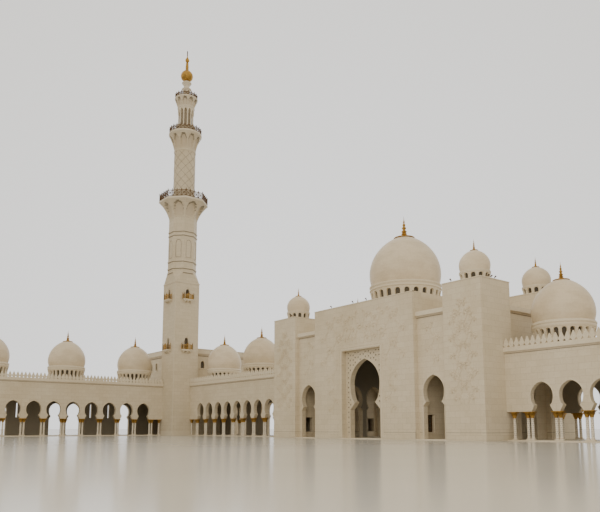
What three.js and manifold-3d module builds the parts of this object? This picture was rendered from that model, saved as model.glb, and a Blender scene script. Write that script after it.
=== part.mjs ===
// A domed portal with arcade wings, a corner block and a minaret, at one tenth of the real size.
// Lengths are written in metres of the real building and scaled to millimetres of the model.
// Origin: ground under the middle of the portal. +X runs right along the front, +Y goes in, +Z up.
import * as THREE from "three";
import { mergeVertices } from "three/addons/utils/BufferGeometryUtils.js";
import Module from "manifold-3d";

const wasm = await Module();
wasm.setup();

const MODEL_MM_PER_METRE = 100;
const STEPS_PER_MM = 100;
const GAP = 0.004;

const MARBLE = new THREE.MeshStandardMaterial({ color: 0xe2dccd, roughness: 0.5 });
const GOLD = new THREE.MeshStandardMaterial({ color: 0xb88634, roughness: 0.35, metalness: 1 });
const GLASS = new THREE.MeshStandardMaterial({ color: 0x20262a, roughness: 0.1 });

// Portal block.
const FLOOR = 0.18;
const PORTAL_X = 24.7;
const PORTAL_Y = 11.55;
const PORTAL_TOP = 23.1;
const HALL_X = 12;
const TOWER_X = 17.85;
const TOWER_Y = 4.7;
const WALL = 0.9;
const HALL_END = 2.0;
const ROOF = 0.7;
const BAY_FRONT = 10.65;
const AISLE_TOP = 19.7;
const CORNICE = 1.0;
const SIDE_X = 23.9;

// Wings.
const WING_HALF = 6.65;
const WING_WALL = 0.8;
const IMPOST = 4.06;
const WING_ROOF = 12.25;
const WING_TOP = 12.95;
const PARAPET = 13.2;
const MERLON_TOP = 14.5;
const PIER_STEP = 4.2;
const SIDE_CENTRE = -80.6;

// Minaret and corner block.
const MINARET = { x: -71.65, y: -8.05, half: 3.4 };
const BLOCK = { x0: -97.15, x1: -73.95, y0: -6.65, y1: 16.55, cornice: 21.1, top: 23.1 };

const BAY_ARCH = { jamb: 2, foot: FLOOR, jambTop: 5.2, neck: 1.45, neckZ: 5.8, wide: 2, wideZ: 7.4, top: 9.8, end: 1.3 };
const MAIN_ARCH = { jamb: 3.6, foot: FLOOR, jambTop: 4.95, neck: 2.35, neckZ: 6.2, wide: 3.55, wideZ: 9.4, top: 13.5, end: 1.25 };
const ARCADE_ARCH = { jamb: 1.6, foot: IMPOST, neck: 1.15, neckZ: 4.9, wide: 1.65, wideZ: 6.2, top: 8.05, end: 1.4 };

/** Metres of the building as millimetres of the model, on a fixed fine step so faces meet exactly. */
const model = (metres) => Math.round(metres * MODEL_MM_PER_METRE * STEPS_PER_MM) / STEPS_PER_MM;

/** Turns a closed geometry into a solid that can be joined and cut. */
function solid(geometry) {
  const plain = geometry.clone();
  plain.deleteAttribute("normal");
  plain.deleteAttribute("uv");
  const merged = mergeVertices(plain, 1e-5);
  const corners = merged.index.array;
  const kept = [];
  for (let i = 0; i < corners.length; i += 3) {
    const [a, b, c] = [corners[i], corners[i + 1], corners[i + 2]];
    if (a !== b && b !== c && c !== a) kept.push(a, b, c);
  }
  return new wasm.Manifold(
    new wasm.Mesh({
      numProp: 3,
      vertProperties: merged.attributes.position.array.map(model),
      triVerts: new Uint32Array(kept),
    }),
  );
}

const moved = (body, x, y) => body.translate([model(x), model(y), 0]);
const join = (...solids) => solids.flat().reduce((whole, next) => whole.add(next));
const cut = (body, ...tools) => tools.flat().reduce((whole, tool) => whole.subtract(tool), body);

/** A named mesh in millimetres of the model. */
function piece(name, body, material = MARBLE) {
  const mesh = body.getMesh();
  const geometry = new THREE.BufferGeometry();
  geometry.setAttribute("position", new THREE.BufferAttribute(mesh.vertProperties, 3));
  geometry.setIndex(new THREE.BufferAttribute(mesh.triVerts, 1));
  geometry.computeVertexNormals();
  const made = new THREE.Mesh(geometry, material);
  made.name = name;
  return made;
}

/** Box geometry between two corners. */
function box([x0, y0, z0], [x1, y1, z1]) {
  return new THREE.BoxGeometry(x1 - x0, y1 - y0, z1 - z0).translate(
    (x0 + x1) / 2,
    (y0 + y1) / 2,
    (z0 + z1) / 2,
  );
}

/** A flat outline in X and Z made into an upright slab, its thickness centred on Y = 0. */
function upright(points, thickness) {
  const shape = new THREE.Shape(points.map(([x, z]) => new THREE.Vector2(x, z)));
  return new THREE.ExtrudeGeometry(shape, { depth: thickness, bevelEnabled: false })
    .translate(0, 0, -thickness / 2)
    .rotateX(Math.PI / 2);
}

/** A flat outline in X and Y made into a level slab between two heights. */
function slab(points, z0, z1) {
  const shape = new THREE.Shape(points.map(([x, y]) => new THREE.Vector2(x, y)));
  return new THREE.ExtrudeGeometry(shape, { depth: z1 - z0, bevelEnabled: false }).translate(0, 0, z0);
}

/** A profile of radius and height turned round the vertical axis. */
function turned(profile, sides) {
  const points = profile.map(([r, z]) => new THREE.Vector2(r, z));
  return new THREE.LatheGeometry(points, sides).rotateX(Math.PI / 2).rotateZ(Math.PI / sides);
}

/** Half of a keyhole arch, from its right foot up to the point of the arch. */
function archHalf(arch, low, high) {
  const half = [[arch.jamb, arch.foot]];
  if (arch.jambTop) half.push([arch.jamb, arch.jambTop]);
  for (let i = 0; i < low; i++) {
    const t = ((Math.PI / 2) * i) / low;
    half.push([
      arch.neck + (arch.wide - arch.neck) * Math.sin(t),
      arch.neckZ + (arch.wideZ - arch.neckZ) * (1 - Math.cos(t)),
    ]);
  }
  const end = arch.end;
  for (let i = 0; i <= high; i++) {
    const t = (end * i) / high;
    half.push([
      (arch.wide * (Math.cos(t) - Math.cos(end))) / (1 - Math.cos(end)),
      arch.wideZ + ((arch.top - arch.wideZ) * Math.sin(t)) / Math.sin(end),
    ]);
  }
  return half;
}

/** The whole outline of a keyhole arch, from the left foot over to the right foot. */
function archOutline(arch, centre = 0, low = 2, high = 4) {
  const half = archHalf(arch, low, high);
  const left = half.map(([x, z]) => [centre - x, z]);
  const right = half.slice(0, -1).reverse().map(([x, z]) => [centre + x, z]);
  return [...left, ...right];
}

/** Outline of a window with a pointed head, from its sill to its top. */
function windowOutline(width, sill, top) {
  const r = width / 2;
  const spring = top - 1.1 * r;
  return [[-r, sill], [-r, spring], [0, top], [r, spring], [r, sill]];
}

/** A shell of revolution between an outer and an inner profile, both drawn from the foot up. */
function shell(outer, inner, sides) {
  return turned([...outer, ...inner.reverse(), outer[0]], sides);
}

/** Outer profile of a bulbous pointed dome. */
function domeProfile(foot, footZ, wide, wideZ, topZ, steps) {
  const points = [[foot, footZ]];
  const end = 1.32;
  for (let i = 0; i < steps; i++) {
    const t = (end * i) / steps;
    points.push([
      (wide * (Math.cos(t) - Math.cos(end))) / (1 - Math.cos(end)),
      wideZ + ((topZ - wideZ) * Math.sin(t)) / Math.sin(end),
    ]);
  }
  points.push([0, topZ]);
  return points;
}

/** Gold finial: flared plate, neck, two balls and a spike. */
function finialProfile(plate, z, tip) {
  const h = tip - z;
  const r = (share) => plate * share;
  return [
    [0, z],
    [r(1), z + 0.02 * h],
    [r(1), z + 0.06 * h],
    [r(0.24), z + 0.22 * h],
    [r(0.14), z + 0.66 * h],
    [0, tip],
  ];
}

/** Bars through the axis that cut two facing windows each. */
function windowBars(count, width, sill, top, reach) {
  const bars = [];
  for (let i = 0; i < count / 2; i++) {
    const angle = (2 * Math.PI * i) / count;
    bars.push(solid(upright(windowOutline(width, sill, top), 2 * reach).rotateZ(angle)));
  }
  return bars;
}

// Portal.

function portalFloor() {
  return piece("portal_floor", solid(box([-PORTAL_X, -PORTAL_Y, 0], [PORTAL_X, PORTAL_Y, FLOOR])));
}

function hallEndWall(name, side) {
  const y0 = PORTAL_Y - HALL_END;
  const wall = box([-HALL_X, y0, FLOOR], [HALL_X, PORTAL_Y, PORTAL_TOP]);
  const panel = box([-4.65, PORTAL_Y - 1, FLOOR], [4.65, PORTAL_Y + 1, 15.05]);
  const arch = upright(archOutline(MAIN_ARCH, 0, 4, 7), 6).translate(0, PORTAL_Y, 0);
  const body = cut(solid(wall), solid(panel), solid(arch));
  return piece(name, side < 0 ? body.mirror([0, 1, 0]) : body);
}

function hallSideWall(name, side) {
  const y = PORTAL_Y - HALL_END;
  const wall = box([-y, -WALL / 2, FLOOR], [y, WALL / 2, PORTAL_TOP - ROOF]);
  const tools = [-2.6, 2.6].map((x) => upright(archOutline(BAY_ARCH, x), 3));
  tools.push(box([-9, -2, 1.2], [-7.3, 2, 3.85]), box([7.3, -2, 1.2], [9, 2, 3.85]));
  const x = side * (HALL_X - WALL / 2);
  const place = (g) => solid(g.rotateZ(Math.PI / 2).translate(x, 0, 0));
  return piece(name, cut(place(wall), tools.map(place)));
}

function tower(name, sx, sy) {
  const outer = box([TOWER_X, TOWER_Y, FLOOR], [PORTAL_X, PORTAL_Y, PORTAL_TOP]);
  const inner = box(
    [TOWER_X + WALL, TOWER_Y + WALL, 0],
    [PORTAL_X - WALL, PORTAL_Y - WALL, PORTAL_TOP - ROOF],
  );
  const window = box([TOWER_X - 1, 7.3, 1.2], [TOWER_X + 1.5, 9, 3.85]);
  const well = turned([[0, 20], [1.5, 20], [1.5, 24], [0, 24]], 12).translate(21.275, 8.125, 0);
  let body = cut(solid(outer), solid(inner), solid(window), solid(well));
  if (sx < 0) body = body.mirror([1, 0, 0]);
  if (sy < 0) body = body.mirror([0, 1, 0]);
  return piece(name, body);
}

function towerDome(name, sx, sy) {
  const drum = [[2.05, PORTAL_TOP], [2.05, 24.4], [2.3, 24.55]];
  const dome = domeProfile(2.12, 24.75, 2.28, 25.75, 28.1, 4);
  const inner = [[1.75, PORTAL_TOP], [1.85, 25.8], [0, 27.4]];
  const body = solid(shell([...drum, ...dome], inner, 12));
  const finial = solid(turned(finialProfile(0.62, 27.9, 29.9), 5));
  return piece(name, moved(join(body, finial), sx * 21.28, sy * 8.12));
}

function bayWall(name, sx, sy) {
  const middle = (HALL_X + TOWER_X) / 2;
  const half = (TOWER_X - HALL_X) / 2;
  const y = sy * (BAY_FRONT - WALL / 2);
  const outline = [
    [middle - half, FLOOR],
    ...archOutline(BAY_ARCH, middle, 3, 5),
    [middle + half, FLOOR],
    [middle + half, AISLE_TOP - CORNICE],
    [middle - half, AISLE_TOP - CORNICE],
  ];
  const body = solid(upright(outline, WALL).translate(0, y, 0));
  return piece(name, sx < 0 ? body.mirror([1, 0, 0]) : body);
}

function aisleEndWall(name, side) {
  const outline = [
    [-TOWER_Y, FLOOR],
    ...archOutline(BAY_ARCH, 0, 3, 5),
    [TOWER_Y, FLOOR],
    [TOWER_Y, AISLE_TOP - CORNICE],
    [-TOWER_Y, AISLE_TOP - CORNICE],
  ];
  const x = side * (SIDE_X - WALL / 2);
  return piece(name, solid(upright(outline, WALL).rotateZ(Math.PI / 2).translate(x, 0, 0)));
}

function aisleRoof(name, side) {
  const y = BAY_FRONT + 0.45;
  const x = SIDE_X + 0.45;
  const points = [
    [HALL_X, -y], [TOWER_X, -y], [TOWER_X, -TOWER_Y], [x, -TOWER_Y],
    [x, TOWER_Y], [TOWER_X, TOWER_Y], [TOWER_X, y], [HALL_X, y],
  ];
  const body = solid(slab(points, AISLE_TOP - CORNICE, AISLE_TOP));
  return piece(name, side < 0 ? body.mirror([1, 0, 0]) : body);
}

function hallRoof() {
  const y = PORTAL_Y - HALL_END;
  const roof = box([-HALL_X, -y, PORTAL_TOP - ROOF], [HALL_X, y, PORTAL_TOP]);
  const well = turned([[0, 22], [5.2, 22], [5.2, 24], [0, 24]], 24);
  return piece("hall_roof", cut(solid(roof), solid(well)));
}

function greatDome() {
  const drum = [[5.95, PORTAL_TOP], [5.95, 26.4], [6.5, 26.7], [6.5, 27.3]];
  const dome = domeProfile(6.15, 27.5, 6.45, 29.5, 36.9, 8);
  const inner = [[5.35, PORTAL_TOP], [5.35, 27], [5.75, 29.5], [4.6, 32.6], [2.4, 34.8], [0, 35.7]];
  const body = solid(shell([...drum, ...dome], inner, 24));
  const crown = solid(box([-3, -3, 36.2], [3, 3, 38]));
  return piece("great_dome", cut(body, crown, windowBars(24, 0.75, 23.7, 26, 7)));
}

function greatFinial() {
  const profile = finialProfile(1.7, 36.2, 40.8);
  profile[0] = [0, 36.2];
  profile.splice(1, 0, [0.95, 36.2]);
  return piece("great_finial", solid(turned(profile, 12)), GOLD);
}

// Wings, drawn along X with the front at negative Y.

/**
 * Arcade wall from x0 to x1 with an arch on every centre. It stands on columns, and reaches the
 * floor wherever the arches are more than one bay apart.
 */
function arcadeOutline(x0, x1, centres) {
  const reach = 1.5 * PIER_STEP;
  const points = [];
  let last = x0;
  for (const centre of [...centres, x1]) {
    const walled = centre - last > reach;
    const from = last === x0 ? x0 : last + ARCADE_ARCH.jamb;
    const to = centre === x1 ? x1 : centre - ARCADE_ARCH.jamb;
    if (walled) points.push([from, FLOOR], [to, FLOOR]);
    else if (last === x0) points.push([x0, IMPOST]);
    if (centre !== x1) points.push(...archOutline(ARCADE_ARCH, centre, 1, 3));
    else if (!walled) points.push([x1, IMPOST]);
    last = centre;
  }
  return [...points, [x1, WING_ROOF], [x0, WING_ROOF]];
}

/** A pair of columns with one gold palm capital. */
function columnPair(x, y) {
  const shafts = [-0.32, 0.32].map((dx) =>
    solid(turned([[0, 0.1], [0.21, 0.1], [0.19, 3.4], [0, 3.4]], 6).translate(x + dx, y, 0)),
  );
  const leaf = [[-0.55, 3.25], [0.55, 3.25], [0.84, IMPOST], [-0.84, IMPOST]];
  return [...shafts, solid(upright(leaf, 0.76).translate(x, y, 0))];
}

/** A single column under the end of an arcade wall. */
function endColumn(x, y) {
  const shaft = turned([[0, 0.1], [0.21, 0.1], [0.19, 3.4], [0, 3.4]], 6).translate(x, y, 0);
  const leaf = [[-0.25, 3.25], [0.25, 3.25], [0.48, IMPOST], [-0.48, IMPOST]];
  return [solid(shaft), solid(upright(leaf, 0.76).translate(x, y, 0))];
}

/** A row of pointed merlons on a low wall, along X. */
function merlonOutline(x0, x1, step) {
  const count = Math.max(1, Math.round((x1 - x0) / step));
  const w = (x1 - x0) / count;
  const points = [[x0, WING_TOP - 0.1]];
  for (let i = 0; i < count; i++) {
    const middle = x0 + w * (i + 0.5);
    points.push([middle - w / 2, PARAPET], [middle, MERLON_TOP]);
  }
  return [...points, [x1, PARAPET], [x1, WING_TOP - 0.1]];
}

/** Dome with its drum and gold finial on a wing roof. */
function wingDome(x) {
  const drum = [[3.85, WING_TOP], [3.85, 15.8], [4.38, 16], [4.38, 16.6]];
  const dome = domeProfile(4.1, 16.8, 4.36, 18.2, 23.3, 5);
  const inner = [[3.35, WING_TOP], [3.65, 18.4], [2.5, 21], [0, 22.3]];
  const body = solid(shell([...drum, ...dome], inner, 14));
  const finial = solid(turned(finialProfile(1.2, 22.85, 25.9), 5));
  return moved(join(body, finial), x, 0);
}

/**
 * The pieces of one wing. Ends are the lowest and highest X of the wing; the front row may stop
 * short of them where the minaret stands.
 */
function wing(prefix, spec, turn) {
  const y = WING_HALF - WING_WALL / 2;
  const rows = [
    ["front_arcade", -1, spec.front],
    ["rear_arcade", 1, spec.rear],
  ];
  const parts = [];
  let floor = solid(slab(spec.footprint(0), 0, FLOOR));
  let roof = solid(slab(spec.footprint(0.3), WING_ROOF, WING_TOP));
  for (const [name, side, row] of rows) {
    const wall = upright(arcadeOutline(row.x0, row.x1, row.centres), WING_WALL);
    const slits = (row.slits ?? []).map((x) => solid(box([x - 0.22, -9, 4.5], [x + 0.22, 9, 8])));
    parts.push([name, cut(solid(wall.translate(0, side * y, 0)), slits)]);
    const piers = row.piers.flatMap((x) => columnPair(x, side * y));
    const posts = row.posts.flatMap((x) => endColumn(x, side * y));
    floor = join(floor, piers, posts);
    const edge = side * (WING_HALF + 0.05);
    roof = join(roof, solid(upright(merlonOutline(row.x0, row.x1, 0.84), 0.3).translate(0, edge, 0)));
  }
  if (spec.open !== undefined) {
    const half = WING_HALF - WING_WALL;
    const centres = [-3.9, 0, 3.9];
    const inward = spec.open.inward;
    const x = spec.open.x + (inward * WING_WALL) / 2;
    const end = upright(arcadeOutline(-half, half, centres), WING_WALL);
    parts.push(["end_arcade", solid(end.rotateZ(Math.PI / 2).translate(x, 0, 0))]);
    const edge = upright(merlonOutline(-WING_HALF + 0.2, WING_HALF - 0.2, 0.84), 0.3);
    roof = join(roof, solid(edge.rotateZ(Math.PI / 2).translate(spec.open.x - inward * 0.05, 0, 0)));
    const piers = [-1.95, 1.95].flatMap((pier) =>
      columnPair(pier, 0).map((s) => moved(s.rotate([0, 0, 90]), x, 0)),
    );
    floor = join(floor, piers);
  }
  for (const x of spec.domes) {
    const well = turned([[0, 12], [3.3, 12], [3.3, 13.5], [0, 13.5]], 12).translate(x, 0, 0);
    roof = cut(roof, solid(well));
  }
  parts.push(["floor_and_columns", floor], ["roof", roof]);
  spec.domes.forEach((x, i) => parts.push(["dome_" + (i + 1), wingDome(x)]));
  return parts.map(([name, body]) => piece(prefix + "_" + name, turn ? turn(body) : body));
}

const rowOf = (first, step, count) => Array.from({ length: count }, (_, i) => first + step * i);

function leftWing() {
  const end = BLOCK.x1;
  const face = MINARET.x + MINARET.half;
  const front = rowOf(-62.7, PIER_STEP, 9);
  const rear = [-66.9, -62.7, -50.1, -45.9, -33.3, -29.1];
  const footprint = (out) => [
    [face + GAP, -WING_HALF - out], [-PORTAL_X, -WING_HALF - out],
    [-PORTAL_X, WING_HALF + out], [end, WING_HALF + out],
    [end, MINARET.y + MINARET.half + GAP], [face + GAP, MINARET.y + MINARET.half + GAP],
  ];
  return wing("left_wing", {
    front: {
      x0: face + GAP,
      x1: -PORTAL_X,
      centres: front,
      piers: rowOf(-64.8, PIER_STEP, 10),
      posts: [-67.7, -25.25],
    },
    rear: {
      x0: end,
      x1: -PORTAL_X,
      centres: rear,
      slits: [-58.5, -54.3, -41.7, -37.5],
      piers: [-64.8, -48, -31.2, -27],
      posts: [-25.25],
    },
    footprint,
    domes: [-62.7, -45.9, -29.1],
  });
}

function rightWing() {
  const end = 53.4;
  const piers = rowOf(28.1, PIER_STEP, 6).concat([52.6]);
  return wing("right_wing", {
    front: { x0: PORTAL_X, x1: end, centres: rowOf(30.2, PIER_STEP, 6), piers, posts: [25.65] },
    rear: {
      x0: PORTAL_X,
      x1: end,
      centres: [30.2, 34.4, 47, 51.2],
      slits: [38.6, 42.8],
      piers: [28.1, 32.3, 49.1, 52.6],
      posts: [25.65],
    },
    footprint: (out) => [
      [PORTAL_X, -WING_HALF - out], [end + out, -WING_HALF - out],
      [end + out, WING_HALF + out], [PORTAL_X, WING_HALF + out],
    ],
    domes: [30.2, 47],
    open: { x: end, inward: -1 },
  });
}

function sideWing() {
  const end = -59.1;
  const step = 4.42;
  const front = rowOf(-16.6 - 9 * step, step, 10);
  const notchX = MINARET.x - MINARET.half - GAP;
  const notchY = MINARET.y - MINARET.half - GAP;
  const localNotch = SIDE_CENTRE - notchX;
  const footprint = (out) => [
    [end - out, -WING_HALF - out], [notchY, -WING_HALF - out],
    [notchY, localNotch], [BLOCK.y0, localNotch],
    [BLOCK.y0, WING_HALF + out], [end - out, WING_HALF + out],
  ];
  const piers = rowOf(-16.6 - 8.5 * step, step, 10).concat([end + 0.8]);
  const turn = (body) => moved(body.rotate([0, 0, 90]), SIDE_CENTRE, 0);
  return wing(
    "side_wing",
    {
      front: { x0: end, x1: notchY, centres: front, piers, posts: [-12.1] },
      rear: {
        x0: end,
        x1: BLOCK.y0,
        centres: [-51.96, -47.54, -34.28, -29.86, -16.6],
        slits: [-56.38, -43.5, -25.44, -20.7],
        piers: [-49.75, -32.07],
        posts: [],
      },
      footprint,
      domes: [-51.8, -34.1, -16.5],
      open: { x: end, inward: 1 },
    },
    turn,
  );
}

// Corner block.

function cornerBlock() {
  const { x0, x1, y0, y1, cornice, top } = BLOCK;
  const notch = box(
    [MINARET.x - MINARET.half - GAP, y0 - 1, -1],
    [x1 + 1, MINARET.y + MINARET.half + GAP, 30],
  );
  const thick = 0.9;
  const inner = box([x0 + thick, y0 + thick, FLOOR], [x1 - thick, y1 - thick, 30]);
  const inside = cut(
    solid(inner),
    solid(box([MINARET.x - MINARET.half - thick, y0, -1], [x1, MINARET.y + MINARET.half + thick, 31])),
  );
  const shaft = cut(solid(box([x0, y0, 0], [x1, y1, cornice])), solid(notch), inside);
  const windows = [-6.3, -3.2].flatMap((d) => [
    solid(upright(windowOutline(1.1, 17.9, 19.85), 60).translate(-85 + d, 0, 0)),
    solid(upright(windowOutline(1.1, 17.9, 19.85), 60).rotateZ(Math.PI / 2).translate(-85, 6.3 + d, 0)),
  ]);
  const walls = piece("corner_walls", cut(shaft, windows));
  const out = 0.45;
  const rim = cut(solid(box([x0 - out, y0 - out, cornice], [x1 + out, y1 + out, top])), solid(notch));
  const dip = solid(box([x0 + 0.6, y0 + 3.6, cornice + 0.8], [x1 - 0.6, y1 - 0.6, top + 1]));
  return [walls, piece("corner_roof", cut(rim, dip))];
}

// Minaret, drawn round its own axis.

/** Small balcony with a gold rail on the face towards -Y: floor, bracket and rail in one body. */
function sideBalcony(z) {
  const face = -MINARET.half;
  const bracket = [[0, z - 0.6], [0, z], [0.85, z], [0.85, z - 0.2]];
  const wedge = upright(bracket, 2.3).rotateZ(-Math.PI / 2).translate(0, face + 0.02, 0);
  const floor = box([-1.45, face - 0.9, z - 0.05], [1.45, face + 0.05, z + 0.5]);
  const rail = box([-1.4, face - 0.85, z + 0.4], [1.4, face + 0.05, z + 2.2]);
  const room = box([-1.32, face - 0.77, z + 0.5], [1.32, face + 0.4, z + 3]);
  return join(cut(solid(rail), solid(room)), solid(floor), solid(wedge));
}

function minaretShaft() {
  const half = MINARET.half;
  const top = 39.4;
  const hollow = half - 0.9;
  let body = cut(
    solid(box([-half, -half, 0], [half, half, top])),
    solid(box([-hollow, -hollow, 0.3], [hollow, hollow, top + 1])),
  );
  const levels = [
    { z: 34.5, head: 37.6, turns: [0, 90, 180, 270] },
    { z: 21.4, head: 24.9, turns: [0, 90, 180] },
  ];
  for (const { z, head, turns } of levels) {
    const window = solid(upright(windowOutline(1.1, z + 0.5, head), 3).translate(0, -half, 0));
    for (const t of turns) {
      body = join(body, sideBalcony(z).rotate([0, 0, t]));
      body = cut(body, window.rotate([0, 0, t]));
    }
  }
  return body;
}

/** Octagonal prism or funnel with flats towards the axes; radii are to the flats. */
function octagon(low, high, z0, z1) {
  const k = 1 / Math.cos(Math.PI / 8);
  const shape = new THREE.CylinderGeometry(high * k, low * k, z1 - z0, 8);
  return shape.rotateX(Math.PI / 2).rotateZ(Math.PI / 8).translate(0, 0, (z0 + z1) / 2);
}

function minaretOctagon() {
  const half = MINARET.half;
  const base = 39.4;
  const k = Math.SQRT2;
  const taper = new THREE.CylinderGeometry(half * k, 2 * half, 3, 4)
    .rotateX(Math.PI / 2)
    .translate(0, 0, base + 1.5);
  const cube = solid(box([-half, -half, base], [half, half, base + 3]));
  let body = join(cube.intersect(solid(taper)), solid(octagon(half, half, base + 2.9, 56.7)));
  for (const z of [43.1, 52.6]) {
    body = join(body, solid(octagon(half + 0.15, half + 0.15, z, z + 0.35)));
  }
  body = join(body, solid(octagon(half, 5.8, 56.7, 61)), solid(octagon(6, 6, 61, 61.7)));
  const rail = cut(solid(octagon(5.95, 5.95, 61.7, 63.9)), solid(octagon(5.75, 5.75, 61.5, 65)));
  body = join(body, rail);
  const hollow = solid(octagon(half - 0.9, half - 0.9, base - 1, 60.9));
  return cut(body, hollow);
}

function minaretDrum() {
  const profile = [
    [0, 61.7], [3.05, 61.7], [2.85, 62.3], [2.85, 76.2], [3.1, 76.5], [4.1, 80.3],
    [4.4, 80.5], [4.4, 81.1], [0, 81.1],
  ];
  let body = solid(turned(profile, 16));
  const rail = solid(turned([[4.15, 81], [4.3, 81], [4.3, 82.8], [4.15, 82.8], [4.15, 81]], 16));
  body = join(body, rail);
  const hollow = solid(turned([[0, 61], [2.3, 61], [2.3, 80.3], [0, 80.3]], 12));
  return cut(body, hollow);
}

function minaretLantern() {
  const base = turned([[0, 81.1], [2.5, 81.1], [2.5, 83.2], [0, 83.2]], 16);
  const columns = Array.from({ length: 8 }, (_, i) => {
    const a = (2 * Math.PI * (i + 0.5)) / 8;
    const shape = turned([[0, 83.1], [0.28, 83.1], [0.28, 88.3], [0, 88.3]], 5);
    return solid(shape.translate(1.85 * Math.cos(a), 1.85 * Math.sin(a), 0));
  });
  const crown = turned([[0, 88.2], [2.2, 88.2], [2.3, 89], [3.1, 91], [3.1, 91.5], [0, 91.5]], 16);
  const rail = turned([[2.9, 91.4], [3.05, 91.4], [3.05, 92.8], [2.9, 92.8], [2.9, 91.4]], 16);
  const stem = turned(
    [[0, 91.4], [0.6, 91.4], [0.6, 94], [1, 94.2], [0.6, 94.4], [0.6, 95.8], [1.05, 96.05],
      [0.6, 96.3], [0.6, 96.6], [0, 96.6]],
    10,
  );
  return join(solid(base), columns, solid(crown), solid(rail), solid(stem));
}

function minaretFinial() {
  const profile = [
    [0, 96.6], [0.55, 96.6], [1.2, 97.2], [1.52, 98.2], [1.2, 99.3], [0.45, 100.4], [0.25, 102.5],
    [0.44, 103.1], [0.15, 103.7], [0, 105.7],
  ];
  return solid(turned(profile, 12));
}

function minaret() {
  const parts = [
    ["minaret_shaft", minaretShaft(), MARBLE],
    ["minaret_octagon", minaretOctagon(), MARBLE],
    ["minaret_drum", minaretDrum(), MARBLE],
    ["minaret_lantern", minaretLantern(), MARBLE],
    ["minaret_finial", minaretFinial(), GOLD],
  ];
  return parts.map(([name, body, look]) => piece(name, moved(body, MINARET.x, MINARET.y), look));
}

/** Fixed window of a frame and glass, filling a hall or tower window. */
function portalWindow(name, x, y) {
  const frame = cut(
    solid(box([x - 0.1, y - 0.85 + GAP, 1.2 + GAP], [x + 0.1, y + 0.85 - GAP, 3.85 - GAP])),
    solid(box([x - 1, y - 0.68, 1.35], [x + 1, y - 0.05, 3.7])),
    solid(box([x - 1, y + 0.05, 1.35], [x + 1, y + 0.68, 3.7])),
  );
  const glass = solid(box([x - 0.03, y - 0.7, 1.3], [x + 0.03, y + 0.7, 3.75]));
  return piece(name, join(frame, glass), GLASS);
}

const building = new THREE.Group();
building.name = "mosque_building";
building.add(portalFloor(), hallEndWall("hall_front_wall", -1), hallEndWall("hall_rear_wall", 1));
for (const [word, sx] of [["left", -1], ["right", 1]]) {
  building.add(hallSideWall("hall_" + word + "_wall", sx));
  building.add(aisleEndWall(word + "_aisle_wall", sx), aisleRoof(word + "_aisle_roof", sx));
  for (const [place, sy] of [["front", -1], ["rear", 1]]) {
    building.add(tower(place + "_" + word + "_tower", sx, sy));
    building.add(towerDome(place + "_" + word + "_tower_dome", sx, sy));
    building.add(bayWall(place + "_" + word + "_bay_wall", sx, sy));
    building.add(portalWindow(place + "_" + word + "_hall_window", sx * (HALL_X - 0.45), sy * 8.15));
  }
}
building.add(hallRoof(), greatDome(), greatFinial());
building.add(...leftWing(), ...rightWing(), ...sideWing());
building.add(...cornerBlock(), ...minaret());

export default building;
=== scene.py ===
"""Looks for the one-tenth model of a domed mosque portal, its arcade wings and its minaret.

Shapes are written in metres of the real building and stored at a tenth of that size. Every piece
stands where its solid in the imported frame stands, and replaces it.
"""

from __future__ import annotations

import logging
import math
import random
from dataclasses import dataclass, field
from enum import Enum
from typing import Callable, Iterable, Sequence

import bmesh
import bpy
from mathutils import Matrix, Vector

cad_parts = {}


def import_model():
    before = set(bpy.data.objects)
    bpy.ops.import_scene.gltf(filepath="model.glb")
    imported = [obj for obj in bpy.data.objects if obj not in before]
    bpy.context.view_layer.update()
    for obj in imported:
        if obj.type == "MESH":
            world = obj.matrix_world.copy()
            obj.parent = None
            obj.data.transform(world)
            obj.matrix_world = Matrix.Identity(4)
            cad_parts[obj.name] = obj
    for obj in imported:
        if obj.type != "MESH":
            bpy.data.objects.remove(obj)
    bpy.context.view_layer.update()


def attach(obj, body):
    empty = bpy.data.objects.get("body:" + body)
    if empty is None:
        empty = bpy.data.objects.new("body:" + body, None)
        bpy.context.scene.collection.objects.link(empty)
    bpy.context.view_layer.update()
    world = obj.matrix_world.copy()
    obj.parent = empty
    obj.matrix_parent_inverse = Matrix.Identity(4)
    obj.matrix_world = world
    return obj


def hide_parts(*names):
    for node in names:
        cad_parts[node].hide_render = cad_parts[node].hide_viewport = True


LOG = logging.getLogger("mosque_building")
SCALE = 0.1
MERGE = 1e-5
SHARP = math.radians(38)
OUTWARD = Vector((0, -1, 0))

Point2 = tuple[float, float]
Point3 = tuple[float, float, float]
Colour = tuple[float, float, float]
Stops = Sequence[tuple[float, Colour]]

# Sizes that several pieces share, in metres of the real building, as their solids have them.
FLOOR = 0.18
WALL = 0.9
GAP = 0.004
PORTAL_X, PORTAL_TOP = 24.7, 23.1
WING_TOP, IMPOST = 12.95, 4.06
PLINTH_LOW, PLINTH_HIGH = 1.14, 1.2
MINARET, MINARET_HALF = (-71.65, -8.05), 3.4
BLOCK = (-97.15, -73.95, -6.65, 16.55)


class Look(Enum):
    """The finishes, by the name that each material has in Blender."""

    MARBLE = "coursed_marble"
    # Darker stone for niches and cornice coves: painted shade in hollows.
    CARVED = "carved_marble"
    RELIEF = "relief_marble"
    # Dark stone for inner faces, undersides and niche steps: painted shade.
    INNER = "shaded_marble"
    DOME = "dome_marble"
    TRIM = "trim_marble"
    SHAFT = "column_marble"
    GOLD = "gold"
    BRONZE = "bronze_rail"
    GLASS = "dark_glass"
    # Near black: painted shade of the panel's drilled holes, and the columns' dark inlay.
    DARK = "drilled_hole"
    # Dark lines: painted shadow under cornices and bands, in incised grooves and inside the
    # lantern, and a dark joint along the plinth.
    LINE = "shaded_joint"
    COURT = "court_floor"


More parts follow.
